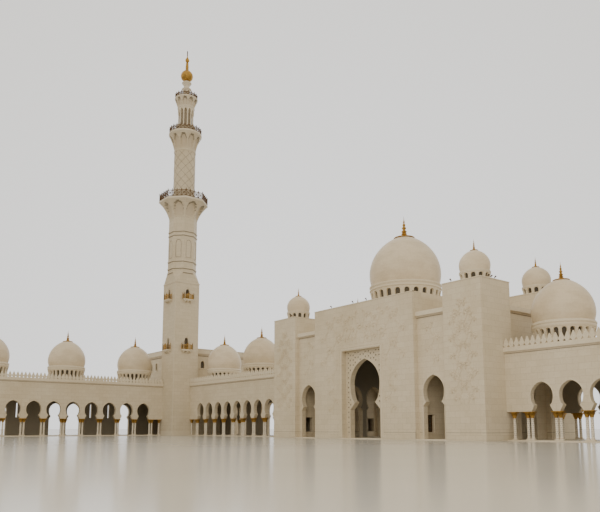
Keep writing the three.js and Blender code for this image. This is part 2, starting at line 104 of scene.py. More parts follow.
class Sheet:
    """The node tree of a material or of the sky, with short ways to place and join nodes."""

    def __init__(self, owner: bpy.types.Material | bpy.types.World) -> None:
        """Takes up the owner's nodes."""
        owner.use_nodes = True
        self.tree = owner.node_tree

    def node(
        self, kind: str, inputs: dict[int | str, object] | None = None, **settings: object
    ) -> bpy.types.Node:
        """Adds a node.

        Args:
            kind: Type name of the node.
            inputs: A value or a socket for each input named.
            settings: Values of the node's own properties.

        Returns:
            The new node.
        """
        made = self.tree.nodes.new(kind)
        for name, value in settings.items():
            setattr(made, name, value)
        for key, value in (inputs or {}).items():
            if isinstance(value, bpy.types.NodeSocket):
                self.tree.links.new(value, made.inputs[key])
            else:
                made.inputs[key].default_value = value
        return made

    def noise(
        self, scale: float, detail: float, stretch: Point3 = (1, 1, 1)
    ) -> bpy.types.NodeSocket:
        """Noise in the frame's own coordinates.

        Args:
            scale: Fineness of the noise.
            detail: Its octaves.
            stretch: Scale of the coordinates along X, Y and Z.

        Returns:
            The socket of its strength.
        """
        place = self.node("ShaderNodeTexCoord").outputs["Object"]
        mapped = self.node("ShaderNodeMapping", {"Vector": place, "Scale": stretch}).outputs[0]
        inputs = {"Vector": mapped, "Scale": scale, "Detail": detail}
        return self.node("ShaderNodeTexNoise", inputs).outputs["Fac"]

    def ramp(self, source: bpy.types.NodeSocket, stops: Stops) -> bpy.types.NodeSocket:
        """Turns a strength into a colour.

        Args:
            source: The strength.
            stops: Places from 0 to 1 in rising order, with the colour at each.

        Returns:
            The socket of the colour.
        """
        ramp = self.node("ShaderNodeValToRGB", {"Fac": source})
        elements = ramp.color_ramp.elements
        while len(elements) < len(stops):
            elements.new(0.5)
        for element, (place, colour) in zip(elements, stops):
            element.position = place
            element.color = (*colour, 1)
        return ramp.outputs["Color"]

    def multiply(self, a: bpy.types.NodeSocket, b: bpy.types.NodeSocket) -> bpy.types.NodeSocket:
        """The product of two colours."""
        kind = {"data_type": "RGBA", "blend_type": "MULTIPLY"}
        return self.node("ShaderNodeMix", {0: 1.0, 6: a, 7: b}, **kind).outputs[2]

    def bump(
        self, surface: bpy.types.Node, height: bpy.types.NodeSocket, strength: float,
        distance: float,
    ) -> None:
        """Tilts a surface's normals by a height.

        Args:
            surface: The shader node.
            height: The socket of the height.
            strength: How much of it is used.
            distance: The height of its full strength, in metres of the model.
        """
        inputs = {"Height": height, "Strength": strength, "Distance": distance}
        made = self.node("ShaderNodeBump", inputs)
        self.tree.links.new(made.outputs["Normal"], surface.inputs["Normal"])


def scaled(colour: Colour, factors: Colour) -> Colour:
    """A colour with each channel scaled, and at most 1."""
    return tuple(min(part * factor, 1.0) for part, factor in zip(colour, factors))


@dataclass(frozen=True)
class Finish:
    """A colour and a roughness, with a pattern that each kind of finish adds."""

    colour: Colour
    rough: float

    def make(self, name: str) -> bpy.types.Material:
        """Makes the finish's material.

        Args:
            name: Name of the material.

        Returns:
            The new material.
        """
        material = bpy.data.materials.new(name)
        sheet = Sheet(material)
        surface = sheet.tree.nodes["Principled BSDF"]
        surface.inputs["Roughness"].default_value = self.rough
        sheet.tree.links.new(self.pattern(sheet, surface), surface.inputs["Base Color"])
        return material

    def pattern(self, sheet: Sheet, surface: bpy.types.Node) -> bpy.types.NodeSocket:
        """The colour of polished stone: soft clouds of warm and cool tone, and a fine grain.

        Args:
            sheet: Where the nodes go.
            surface: The shader node, for a finish that sets more of it.

        Returns:
            The socket of the colour.
        """
        warm = scaled(self.colour, (0.93, 0.905, 0.86))
        light = scaled(self.colour, (1.05, 1.055, 1.08))
        stops = [(0.32, warm), (0.5, self.colour), (0.68, light)]
        cloud = sheet.ramp(sheet.noise(0.9, 6, (1, 1, 0.6)), stops)
        grain = sheet.ramp(sheet.noise(34.0, 4), [(0.3, (0.94, 0.93, 0.91)), (0.65, (1, 1, 1))])
        return sheet.multiply(cloud, grain)


@dataclass(frozen=True)
class HonedStone(Finish):
    """Stone with a faint roughness to the touch."""

    def pattern(self, sheet: Sheet, surface: bpy.types.Node) -> bpy.types.NodeSocket:
        """The stone's tone, over a fine bump."""
        sheet.bump(surface, sheet.noise(60, 3), 0.15, 0.001)
        return super().pattern(sheet, surface)


@dataclass(frozen=True)
class CoursedStone(Finish):
    """Marble slabs in courses on every upright wall, laid from the wall's own direction."""

    length: float = 0.17
    height: float = 0.085
    joint: float = 0.0026
    other: Colour = (0.925, 0.915, 0.89)
    mortar: Colour = (0.80, 0.775, 0.73)

    def pattern(self, sheet: Sheet, surface: bpy.types.Node) -> bpy.types.NodeSocket:
        """The stone's tone under its slabs and joints.

        Args:
            sheet: Where the nodes go.
            surface: The shader node, which gets the joints' depth.

        Returns:
            The socket of the colour.
        """
        coords = sheet.node("ShaderNodeTexCoord")
        point = sheet.node("ShaderNodeSeparateXYZ", {"Vector": coords.outputs["Object"]}).outputs
        normal = sheet.node("ShaderNodeSeparateXYZ", {"Vector": coords.outputs["Normal"]}).outputs
        facing = sheet.node("ShaderNodeMath", {0: normal["X"]}, operation="ABSOLUTE").outputs[0]
        sideways = sheet.node("ShaderNodeMath", {0: facing, 1: 0.71}, operation="GREATER_THAN")
        inputs = {0: sideways.outputs[0], 2: point["X"], 3: point["Y"]}
        along = sheet.node("ShaderNodeMix", inputs).outputs[0]
        place = sheet.node("ShaderNodeCombineXYZ", {"X": along, "Y": point["Z"]}).outputs[0]
        lifted = {"Vector": place, "Location": (0.0, 0.005, 0.0)}
        brick = sheet.node(
            "ShaderNodeTexBrick",
            {
                "Vector": sheet.node("ShaderNodeMapping", lifted).outputs[0],
                "Scale": 1.0, "Mortar Size": self.joint, "Mortar Smooth": 0.3, "Bias": 0.1,
                "Brick Width": self.length, "Row Height": self.height, "Color1": (1, 1, 1, 1),
                "Color2": (*self.other, 1), "Mortar": (*self.mortar, 1),
            },
            offset=0.5,
        )
        sheet.bump(surface, brick.outputs["Fac"], -0.35, 0.002)
        return sheet.multiply(super().pattern(sheet, surface), brick.outputs["Color"])


@dataclass(frozen=True)
class DomeStone(Finish):
    """Dome stone in thin level courses, with a tone that changes from patch to patch."""

    courses: float = 5.2

    def pattern(self, sheet: Sheet, surface: bpy.types.Node) -> bpy.types.NodeSocket:
        """The stone's tone under its courses and patches.

        Args:
            sheet: Where the nodes go.
            surface: The shader node, which gets the courses' depth.

        Returns:
            The socket of the colour.
        """
        place = sheet.node("ShaderNodeTexCoord").outputs["Object"]
        inputs = {"Vector": place, "Scale": self.courses, "Distortion": 0.0}
        wave = sheet.node("ShaderNodeTexWave", inputs, bands_direction="Z", wave_profile="SIN")
        joint = sheet.ramp(wave.outputs["Fac"], [(0.0, (0.94, 0.935, 0.92)), (0.035, (1, 1, 1))])
        stops = [(0.42, (0.945, 0.935, 0.915)), (0.58, (1.02, 1.02, 1.02))]
        block = sheet.multiply(joint, sheet.ramp(sheet.noise(3.6, 2, (1, 1, 1.8)), stops))
        sheet.bump(surface, joint, 0.12, 0.001)
        return sheet.multiply(super().pattern(sheet, surface), block)


@dataclass(frozen=True)
class Metal(Finish):
    """Gilded or browned metal with darker clouds."""

    def pattern(self, sheet: Sheet, surface: bpy.types.Node) -> bpy.types.NodeSocket:
        """The metal's tone, over a soft bump.

        Args:
            sheet: Where the nodes go.
            surface: The shader node, which is made metallic.

        Returns:
            The socket of the colour.
        """
        surface.inputs["Metallic"].default_value = 0.85
        cloud = sheet.noise(16, 5)
        sheet.bump(surface, cloud, 0.12, 0.002)
        dark = scaled(self.colour, (0.62, 0.62, 0.62))
        return sheet.ramp(cloud, [(0.35, dark), (0.6, self.colour)])


@dataclass(frozen=True)
class Toned(Finish):
    """A smooth surface that drifts between its colour and a lighter one."""

    light: Colour
    scale: float

    def pattern(self, sheet: Sheet, surface: bpy.types.Node) -> bpy.types.NodeSocket:
        """The drifting colour."""
        return sheet.ramp(sheet.noise(self.scale, 3), [(0.3, self.colour), (0.7, self.light)])


FINISHES: dict[Look, Finish] = {
    Look.MARBLE: CoursedStone((0.72, 0.64, 0.50), 0.5),
    # Painted shade for niches and cornice coves.
    Look.CARVED: HonedStone((0.65, 0.565, 0.435), 0.55),
    Look.RELIEF: HonedStone((0.70, 0.615, 0.475), 0.55),
    # Painted shade for inner faces and undersides.
    Look.INNER: HonedStone((0.32, 0.285, 0.225), 0.6),
    Look.TRIM: HonedStone((0.74, 0.665, 0.53), 0.45),
    Look.DOME: DomeStone((0.74, 0.64, 0.49), 0.42),
    Look.SHAFT: Finish((0.80, 0.735, 0.62), 0.25),
    Look.GOLD: Metal((0.56, 0.33, 0.08), 0.34),
    Look.BRONZE: Metal((0.17, 0.095, 0.04), 0.5),
    Look.GLASS: Toned((0.05, 0.038, 0.024), 0.12, (0.10, 0.08, 0.05), 3),
    # Painted shade of drilled holes, and dark inlay.
    Look.DARK: HonedStone((0.06, 0.045, 0.03), 0.8),
    # Painted shadow lines, and the plinth's dark joint.
    Look.LINE: HonedStone((0.33, 0.275, 0.205), 0.7),
    Look.COURT: Toned((0.53, 0.515, 0.475), 0.16, (0.59, 0.575, 0.535), 0.35),
}


@dataclass
class Shape:
    """Finished bodies in metres of the real building, each face with its look."""

    verts: list[Vector] = field(default_factory=list)
    faces: list[tuple[int, ...]] = field(default_factory=list)
    looks: list[Look] = field(default_factory=list)
    smooth: list[bool] = field(default_factory=list)

    def add(self, other: Shape, matrix: Matrix | None = None) -> Shape:
        """Joins a copy of another shape to this one.

        Args:
            other: The shape to copy.
            matrix: Where the copy goes, a mirror included.

        Returns:
            This shape.
        """
        start = len(self.verts)
        self.verts += [matrix @ v for v in other.verts] if matrix else other.verts
        way = -1 if matrix and matrix.determinant() < 0 else 1
        self.faces += [tuple(i + start for i in loop[::way]) for loop in other.faces]
        self.looks += other.looks
        self.smooth += other.smooth
        return self

    def moved(self, matrix: Matrix) -> Shape:
        """A copy moved by a matrix."""
        return Shape().add(self, matrix)

    def paint(self, look: Look, test: Callable[[Vector], bool]) -> Shape:
        """Changes the look of some faces.

        Args:
            look: The look to give.
            test: Says of a corner whether it counts. A face needs all of its own.

        Returns:
            This shape.
        """
        for i, loop in enumerate(self.faces):
            if all(test(self.verts[k]) for k in loop):
                self.looks[i] = look
        return self

    def crisp(self) -> Shape:
        """Gives every face corners of its own, so that no shading runs over an edge.

        Returns:
            This shape.
        """
        self.verts = [self.verts[k].copy() for loop in self.faces for k in loop]
        corner = iter(range(len(self.verts)))
        self.faces = [[next(corner) for _ in loop] for loop in self.faces]
        return self

    @classmethod
    def taken(
        cls, bm: bmesh.types.BMesh, *looks: Look, smooth: bool = False, sure: bool = False
    ) -> Shape:
        """Reads a bmesh, turns its faces outwards and frees it.

        Args:
            bm: The bmesh.
            looks: The look that each material number of its faces stands for.
            smooth: Whether its faces are shaded smooth.
            sure: Whether they face outwards already.

        Returns:
            The shape.
        """
        if not sure:
            bmesh.ops.recalc_face_normals(bm, faces=bm.faces)
        bm.verts.index_update()
        shape = cls(
            [v.co.copy() for v in bm.verts],
            [tuple(v.index for v in f.verts) for f in bm.faces],
            [looks[f.material_index] for f in bm.faces],
        )
        shape.smooth = [smooth] * len(shape.faces)
        bm.free()
        return shape


def shift(x: float, y: float, z: float = 0.0) -> Matrix:
    """A move."""
    return Matrix.Translation((x, y, z))


def turn(degrees: float) -> Matrix:
    """A turn about the vertical axis."""
    return Matrix.Rotation(math.radians(degrees), 4, "Z")


def tilt(degrees: float) -> Matrix:
    """A turn about the X axis."""
    return Matrix.Rotation(math.radians(degrees), 4, "X")


def flip(x: float = 1, y: float = 1) -> Matrix:
    """A mirror in X or Y."""
    return Matrix.Diagonal((x, y, 1, 1))


def ends(points: Sequence[Point2]) -> list[Point2]:
    """A loop of points with its first one again at its end."""
    return [*points, points[0]]


def circle(radius: float, count: int, start: float = 0.0, centre: Point2 = (0, 0)) -> list[Point2]:
    """Evenly spaced points round a circle.

    Args:
        radius: Radius of the circle.
        count: How many points.
        start: Angle of the first one, in steps from one point to the next.
        centre: Middle of the circle.

    Returns:
        The points, as X and Y.
    """
    angles = [math.tau * (i + start) / count for i in range(count)]
    return [(centre[0] + radius * math.cos(a), centre[1] + radius * math.sin(a)) for a in angles]


def diamond(x: float, z: float, wide: float, tall: float) -> list[Point2]:
    """The four corners of a diamond of half widths."""
    return [(x - wide, z), (x, z - tall), (x + wide, z), (x, z + tall)]


def box(low: Point3, high: Point3, look: Look = Look.MARBLE, bevel: float = 0.0) -> Shape:
    """A box between two corners.

    Args:
        low: The corner with the lowest numbers.
        high: The corner with the highest numbers.
        look: Its look.
        bevel: Width of the bevel on its edges, 0 for none.

    Returns:
        The box.
    """
    bm = bmesh.new()
    bmesh.ops.create_cube(bm, size=1.0)
    bmesh.ops.scale(bm, vec=Vector(high) - Vector(low), verts=bm.verts)
    bmesh.ops.translate(bm, vec=(Vector(high) + Vector(low)) / 2, verts=bm.verts)
    if bevel:
        bmesh.ops.bevel(
            bm, geom=bm.edges[:], offset=bevel, segments=1, profile=0.5, affect="EDGES", material=-1
        )
    return Shape.taken(bm, look)


def turned(profile: Sequence[Point2], sides: int, look: Look, smooth: bool = True) -> Shape:
    """A profile spun round the vertical axis.

    Args:
        profile: Radius and height of its points. An open one is closed on the axis.
        sides: Steps round the axis.
        look: Its look.
        smooth: Whether it is shaded smooth.

    Returns:
        The closed body.
    """
    points = list(profile)
    if math.dist(points[0], points[-1]) > MERGE:
        points = [(0.0, points[0][1])] * (points[0][0] > 0) + points
        points += [(0.0, points[-1][1])] * (points[-1][0] > 0)
    bm = bmesh.new()
    verts = [bm.verts.new((r, 0, z)) for r, z in points]
    edges = [bm.edges.new(pair) for pair in zip(verts, verts[1:])]
    bmesh.ops.spin(
        bm, geom=verts + edges, cent=(0, 0, 0), axis=(0, 0, 1), angle=math.tau, steps=sides,
        use_merge=True,
    )
    bmesh.ops.remove_doubles(bm, verts=bm.verts, dist=MERGE)
    return Shape.taken(bm, look, smooth=smooth)


def plate(loops: Sequence[Sequence[Point3]], way: Point3, look: Look) -> Shape:
    """A flat outline extruded along a vector.

    Args:
        loops: The outline, and after it the outlines of holes in it.
        way: The vector.
        look: Its look.

    Returns:
        The plate, with its holes cut through.
    """
    bm = bmesh.new()
    edges = []
    for loop in loops:
        verts = [bm.verts.new(point) for point in loop]
        edges += [bm.edges.new(pair) for pair in zip(verts, verts[1:] + verts[:1])]
    if len(loops) == 1:
        faces = [bm.faces.new(verts)]
    else:
        made = bmesh.ops.triangle_fill(bm, use_beauty=True, use_dissolve=False, edges=edges)
        faces = [g for g in made["geom"] if isinstance(g, bmesh.types.BMFace)]
    made = bmesh.ops.extrude_face_region(bm, geom=faces)
    far = [g for g in made["geom"] if isinstance(g, bmesh.types.BMVert)]
    bmesh.ops.translate(bm, vec=way, verts=far)
    return Shape.taken(bm, look)


def upright(
    outline: Sequence[Point2], y0: float, y1: float, look: Look = Look.MARBLE,
    holes: Sequence[Sequence[Point2]] = (),
) -> Shape:
    """An outline of X and height, from y0 to y1."""
    loops = [[(x, y0, z) for x, z in loop] for loop in (outline, *holes)]
    return plate(loops, (0, y1 - y0, 0), look)


def level(
    outline: Sequence[Point2], z0: float, z1: float, look: Look,
    holes: Sequence[Sequence[Point2]] = (),
) -> Shape:
    """An outline of X and Y, from z0 to z1."""
    loops = [[(x, y, z0) for x, y in loop] for loop in (outline, *holes)]
    return plate(loops, (0, 0, z1 - z0), look)


def loft(rings: Sequence[Sequence[Point3]], look: Look) -> Shape:
    """A closed body through matching rings, the first one extruded from ring to ring.

    It is extruded backwards and then reversed. That turns its faces outwards, and lets each
    bent quad fold along its own first corner.

    Args:
        rings: Loops of as many points each, anticlockwise as seen from the last one. Points that
            fall together become one.
        look: Its look.

    Returns:
        The body, with a face on both ends.
    """
    bm = bmesh.new()
    loops = [[ring[0], *reversed(ring[1:])] for ring in rings]
    first = [bm.verts.new(point) for point in loops[0]]
    face = bm.faces.new(first)
    for loop in loops[1:]:
        face = bmesh.ops.extrude_discrete_faces(bm, faces=[face])["faces"][0]
        for vert, point in zip(face.verts, loop):
            vert.co = point
    bmesh.ops.reverse_faces(bm, faces=bm.faces)
    bm.faces.new(first[1:] + first[:1])
    bmesh.ops.remove_doubles(bm, verts=bm.verts, dist=MERGE)
    return Shape.taken(bm, look, sure=True).crisp()


def hull(points: Iterable[Point3], look: Look) -> Shape:
    """The tightest body round some points.

    Args:
        points: The points.
        look: Its look.

    Returns:
        The body.
    """
    bm = bmesh.new()
    bmesh.ops.convex_hull(bm, input=[bm.verts.new(point) for point in points])
    return Shape.taken(bm, look)


def stud(base: Sequence[Point2], y: float, tip: Point3, look: Look) -> Shape:
    """A pyramid on a loop in the plane y."""
    return loft([[(x, y, z) for x, z in base], [tip] * len(base)], look)


def ribbon(
    path: Sequence[Vector], out: Sequence[Vector], width: float, height: float, look: Look
) -> Shape:
    """A raised strip along a path.

    Args:
        path: Points on the surface.
        out: The surface's outward normal at each point.
        width: Width of the strip.
        height: How far it stands out.
        look: Its look.

    Returns:
        The closed strip.
    """
    rings = []
    for i, (point, normal) in enumerate(zip(path, out)):
        ahead = path[min(i + 1, len(path) - 1)] - path[max(i - 1, 0)]
        side = ahead.cross(normal).normalized() * width / 2
        low, top = point - normal * 0.02, point + normal * height
        rings.append([low - side, top - side * 0.7, top + side * 0.7, low + side])
    return loft(rings, look)


def rim(points: Sequence[Point2], y: float, width: float, height: float, look: Look) -> Shape:
    """A raised moulding that follows an outline on the plane y, standing out towards -Y."""
    path = [Vector((x, y, z)) for x, z in points]
    return ribbon(path, [OUTWARD] * len(path), width, height, look)


def border(corners: Sequence[Point2], y: float, width: float, height: float, look: Look) -> Shape:
    """Straight mouldings from corner to corner on the plane y.

    Args:
        corners: The corners, in order.
        y: The plane.
        width: Width of each moulding.
        height: How far it stands out.
        look: Its look.

    Returns:
        The mouldings.
    """
    shape = Shape()
    for pair in zip(corners, corners[1:]):
        shape.add(rim(pair, y, width, height, look))
    return shape


@dataclass(frozen=True)
class Arch:
    """A keyhole arch: half widths and heights from its foot to its point."""

    jamb: float
    foot: float
    neck: float
    neck_z: float
    wide: float
    wide_z: float
    top: float
    end: float
    jamb_top: float | None = None

    def half(self, grow: float = 0.0) -> list[Point2]:
        """Points of the right half, from the foot up to the point of the arch.

        Args:
            grow: How far the outline is moved outwards.

        Returns:
            Pairs of half width and height.
        """
        points = [(self.jamb + grow, self.foot)]
        if self.jamb_top is not None:
            points.append((self.jamb + grow, self.jamb_top + grow * 0.3))
        low, high, end = 6, 12, self.end
        for i in range(low):
            t = math.pi / 2 * i / low
            x = self.neck + (self.wide - self.neck) * math.sin(t)
            z = self.neck_z + (self.wide_z - self.neck_z) * (1 - math.cos(t))
            points.append((x + grow, z))
        for i in range(high + 1):
            t = end * i / high
            x = self.wide * (math.cos(t) - math.cos(end)) / (1 - math.cos(end))
            z = self.wide_z + (self.top - self.wide_z) * math.sin(t) / math.sin(end)
            lean = math.pi / 2 * i / high
            points.append((x + grow * math.cos(lean), z + grow * 1.2 * math.sin(lean)))
        return points

    def outline(self, centre: float = 0.0, grow: float = 0.0) -> list[Point2]:
        """The whole arch from its left foot over to its right foot.

        Args:
            centre: Middle of the arch along X.
            grow: How far the outline is moved outwards.

        Returns:
            Pairs of X and height.
        """
        half = self.half(grow)
        left = [(centre - x, z) for x, z in half]
        return left + [(centre + x, z) for x, z in reversed(half[:-1])]

    def reach(self, z: float, beside: float, above: float) -> float:
        """Half width of the arch at a height, with a margin round it.

        Args:
            z: The height.
            beside: The margin to the sides.
            above: The margin over the arch.

        Returns:
            The half width, 0 over the arch.
        """
        points = [(x + beside, up + above) for x, up in self.half()]
        widths = [
            x0 + (x1 - x0) * (z - z0) / (z1 - z0)
            for (x0, z0), (x1, z1) in zip(points, points[1:])
            if min(z0, z1) <= z <= max(z0, z1) and abs(z1 - z0) > MERGE
        ]
        return max(widths, default=0.0)


BAY_ARCH = Arch(2, FLOOR, 1.45, 5.8, 2, 7.4, 9.8, 1.3, 5.2)
MAIN_ARCH = Arch(3.6, FLOOR, 2.35, 6.2, 3.55, 9.4, 13.5, 1.25, 4.95)
ARCADE_ARCH = Arch(1.6, IMPOST, 1.15, 4.9, 1.65, 6.2, 8.05, 1.4)


def window_head(width: float, sill: float, top: float, centre: float = 0.0) -> list[Point2]:
    """Outline of a window with a pointed head, as the solids have it.

    Args:
        width: Whole width of the window.
        sill: Height of its sill.
        top: Height of its point.
        centre: Its middle along X.

    Returns:
        The outline, from its lower left corner round to its upper left one.
    """
    w = width / 2
    rise = min(width * 0.8, (top - sill) * 0.45)
    arc = [(w * math.cos(a) ** 0.8, top - rise + rise * math.sin(a)) for a in (0, 0.4, 0.8, 1.15)]
    right = [(centre + x, z) for x, z in arc]
    left = [(centre - x, z) for x, z in reversed(arc)]
    return [(centre - w, sill), (centre + w, sill), *right, (centre, top), *left]


def finial(plate_r: float, z: float, tip: float, sides: int = 20) -> Shape:
    """Gold finial: a brimmed plate that sweeps up into a stack of beads and a spike.

    Args:
        plate_r: Radius of the plate.
        z: Height of its foot.
        tip: Height of its tip.
        sides: Steps round it.

    Returns:
        The finial.
    """
    rows = [
        (0.9, 0.03), (1.0, 0.045), (1.0, 0.06), (0.95, 0.075), (0.75, 0.09), (0.5, 0.115),
        (0.36, 0.145), (0.27, 0.175), (0.23, 0.2), (0.27, 0.22), (0.27, 0.24), (0.2, 0.265),
        (0.18, 0.285), (0.25, 0.31), (0.26, 0.335), (0.19, 0.365), (0.14, 0.39), (0.13, 0.42),
        (0.19, 0.445), (0.21, 0.475), (0.17, 0.505), (0.12, 0.53), (0.1, 0.56), (0.14, 0.585),
        (0.15, 0.61), (0.11, 0.64), (0.07, 0.665), (0.06, 0.7), (0.09, 0.72), (0.09, 0.745),
        (0.05, 0.77), (0.03, 0.82), (0.0, 1.0),
    ]
    profile = [(0.0, z), *((plate_r * r, z + (tip - z) * s) for r, s in rows)]
    return turned(profile, sides, Look.GOLD)


@dataclass(frozen=True)
class DomeSpec:
    """Sizes of one dome with its windowed drum and its finial."""

    drum: float
    base: float
    drum_top: float
    ring: float
    ring_top: float
    foot: float
    wide: float
    wide_z: float
    top: float
    windows: int
    window: tuple[float, float, float]
    plate: float
    plate_z: float
    tip: float
    double_ring: bool = False

    def curve(self, inset: float, steps: int) -> list[Point2]:
        """Profile of the bulbous pointed dome, from its foot to its point.

        Args:
            inset: How far inside the outer face it runs.
            steps: Steps from the widest place up.

        Returns:
            Pairs of radius and height.
        """
        foot, wide, top = self.foot - inset, self.wide - inset, self.top - 2 * inset
        points = [(foot, self.ring_top)]
        for t in (0.2, 0.4, 0.6, 0.8):
            r = foot + (wide - foot) * math.sin(t * math.pi / 2)
            points.append((r, self.ring_top + (self.wide_z - self.ring_top) * t))
        end = 1.32
        for i in range(steps + 1):
            t = end * i / steps
            r = wide * (math.cos(t) - math.cos(end)) / (1 - math.cos(end))
            z = self.wide_z + (top - self.wide_z) * math.sin(t) / math.sin(end)
            points.append((max(r, 0.0), z))
        return points

    def _wall(self, flare: float) -> Shape:
        """The drum's wall: each window's bay is drawn flat, bent round the axis and welded on.

        Args:
            flare: How far the wall leans out at its top.

        Returns:
            The wall, with a reveal, a dark pane and a raised frame at every window.
        """
        width, sill, top = self.window
        z0, z1 = self.base + 0.25, self.drum_top
        half = math.pi * self.drum / self.windows
        w, spring = width / 2, top - width / 2
        head = [(-w * math.cos(a), spring + w * math.sin(a)) for a in (math.pi / 6, math.pi / 3)]
        left = [(-w, sill), (-w, spring), *head, (0.0, top)]
        whole = left + [(-u, z) for u, z in reversed(left[:-1])]
        depth = min(0.35, self.drum * 0.12)
        back = depth + 0.12
        side = [(-half, z0), *left, (0.0, z1)]
        side += [(-half, z0 + (z1 - z0) * t) for t in (1.0, 0.8, 0.6, 0.4)]
        sheets = [[(-half, z0), (half, z0), (w, sill), (-w, sill)], side]
        sheets.append([(-u, z) for u, z in reversed(side)])
        loops = [[(u, 0.0, z) for u, z in sheet] for sheet in sheets]
        for (u0, za), (u1, zb) in zip(whole, whole[1:] + whole[:1]):
            loops.append([(u1, 0.0, zb), (u0, 0.0, za), (u0, depth, za), (u1, depth, zb)])
        loops.append([(-half, back, z0), (half, back, z0), (half, 0.0, z0), (-half, 0.0, z0)])
        for u0, u1 in ((-half, 0.0), (0.0, half)):
            loops.append([(u0, 0.0, z1), (u1, 0.0, z1), (u1, back, z1), (u0, back, z1)])
        inside = [(half, z0), (-half, z0), (-half, z1), (0.0, z1), (half, z1)]
        loops.append([(u, back, z) for u, z in inside])
        pane = [(u, depth, z) for u, z in reversed(whole)]
        frame = [(u * 1.25, 0.0, z + (0.05 if z > sill else 0)) for u, z in whole]

        def bent(flat: Point3, middle: float) -> Point3:
            """A point of the flat bay, brought to its place round the axis.

            Args:
                flat: Its place along the wall, inwards from its face, and up.
                middle: Angle of the bay's middle.

            Returns:
                The point.
            """
            u, y, z = flat
            t = (z - z0) / (z1 - z0)
            reach = self.drum - y + (flare * t * t if y < back else 0.0)
            angle = middle + u / self.drum
            return (reach * math.cos(angle), reach * math.sin(angle), z)

        bm = bmesh.new()
        frames = Shape()
        for i in range(self.windows):
            middle = math.tau * i / self.windows
            for loop in (*loops, pane):
                face = bm.faces.new([bm.verts.new(bent(flat, middle)) for flat in loop])
                face.material_index = int(loop is pane)
            path = [Vector(bent(flat, middle)) for flat in frame]
            out = [Vector((v.x, v.y, 0)).normalized() for v in path]
            frames.add(ribbon(path, out, width * 0.16, 0.05, Look.TRIM))
        bmesh.ops.remove_doubles(bm, verts=bm.verts, dist=MERGE)
        return Shape.taken(bm, Look.TRIM, Look.GLASS, sure=True).crisp().add(frames)

    def build(self, sides: int, gold: int = 0) -> Shape:
        """The drum, its ring mouldings and the dome.

        Args:
            sides: Steps round the dome.
            gold: Steps round the finial, 0 to leave it off.

        Returns:
            The shape, on the vertical axis.
        """
        flare = (self.ring - self.drum) * 0.75
        base, top, r = self.base, self.drum_top, self.drum
        shape = self._wall(flare)
        foot = [(r - 0.6, base), (r + 0.12, base), (r + 0.12, base + 0.18), (r, base + 0.25)]
        foot.append((r - 0.6, base + 0.25))
        shape.add(turned(ends(foot), sides, Look.TRIM))
        double = (
            (0.7, 0.04), (0.95, 0.12), (0.9, 0.22), (0.55, 0.28), (0.0, 0.33), (-0.1, 0.42),
            (0.1, 0.5), (0.8, 0.6), (1.0, 0.68), (1.1, 0.76), (1.0, 0.84), (0.5, 0.88),
            (0.45, 0.94),
        )
        single = (
            (0.3, 0.04), (0.65, 0.12), (0.85, 0.22), (0.88, 0.34), (0.8, 0.42), (0.5, 0.46),
            (0.55, 0.5), (1.1, 0.56), (1.25, 0.64), (1.15, 0.74), (0.6, 0.78), (0.3, 0.82),
            (0.2, 0.92),
        )
        lip, rise = r + flare, self.ring_top - top
        rows = double if self.double_ring else single
        moulding = [(lip, top - 0.02)]
        moulding += [(lip + (self.ring - lip) * out, top + rise * up) for out, up in rows]
        moulding += [(self.foot, self.ring_top), (self.foot - 0.2, self.ring_top - 0.04)]
        moulding.append((lip - 0.3, top - 0.02))
        shape.add(turned(ends(moulding), sides, Look.TRIM))
        shell = [*reversed(self.curve(0.0, 22)), *self.curve(self.wide * 0.07, 8)]
        shape.add(turned(shell, sides, Look.DOME))
        return shape.add(finial(self.plate, self.plate_z, self.tip, gold)) if gold else shape


GREAT_DOME = DomeSpec(
    5.95, PORTAL_TOP, 26.35, 6.5, 27.4, 6.15, 6.45, 29.5, 36.9, 24, (0.84, 23.9, 26.05), 1.92,
    36.2, 40.8, True,
)
WING_DOME = DomeSpec(
    3.85, WING_TOP, 15.75, 4.38, 16.8, 4.1, 4.36, 18.2, 23.3, 24, (0.6, 13.5, 15.66), 1.2, 22.85,
    25.9,
)
TOWER_DOME = DomeSpec(
    2.05, PORTAL_TOP, 24.38, 2.3, 24.75, 2.12, 2.28, 25.75, 28.1, 12, (0.64, 23.4, 24.3), 0.62,
    27.9, 29.9,
)


def roof_lamp() -> Shape:
    """A small lamp head on a stub at a roof's edge, turned towards -Y.

    Returns:
        The lamp, with its foot at the origin.
    """
    stub = [(0.0, 0.0), (0.09, 0.0), (0.09, 0.05), (0.03, 0.08), (0.03, 0.3), (0.0, 0.3)]
    head = [(0.0, -0.16), (0.06, -0.16), (0.12, 0.14), (0.14, 0.16), (0.0, 0.16)]
    shape = turned(stub, 6, Look.BRONZE)
    return shape.add(turned(head, 8, Look.BRONZE), shift(0, -0.05, 0.36) @ tilt(60))


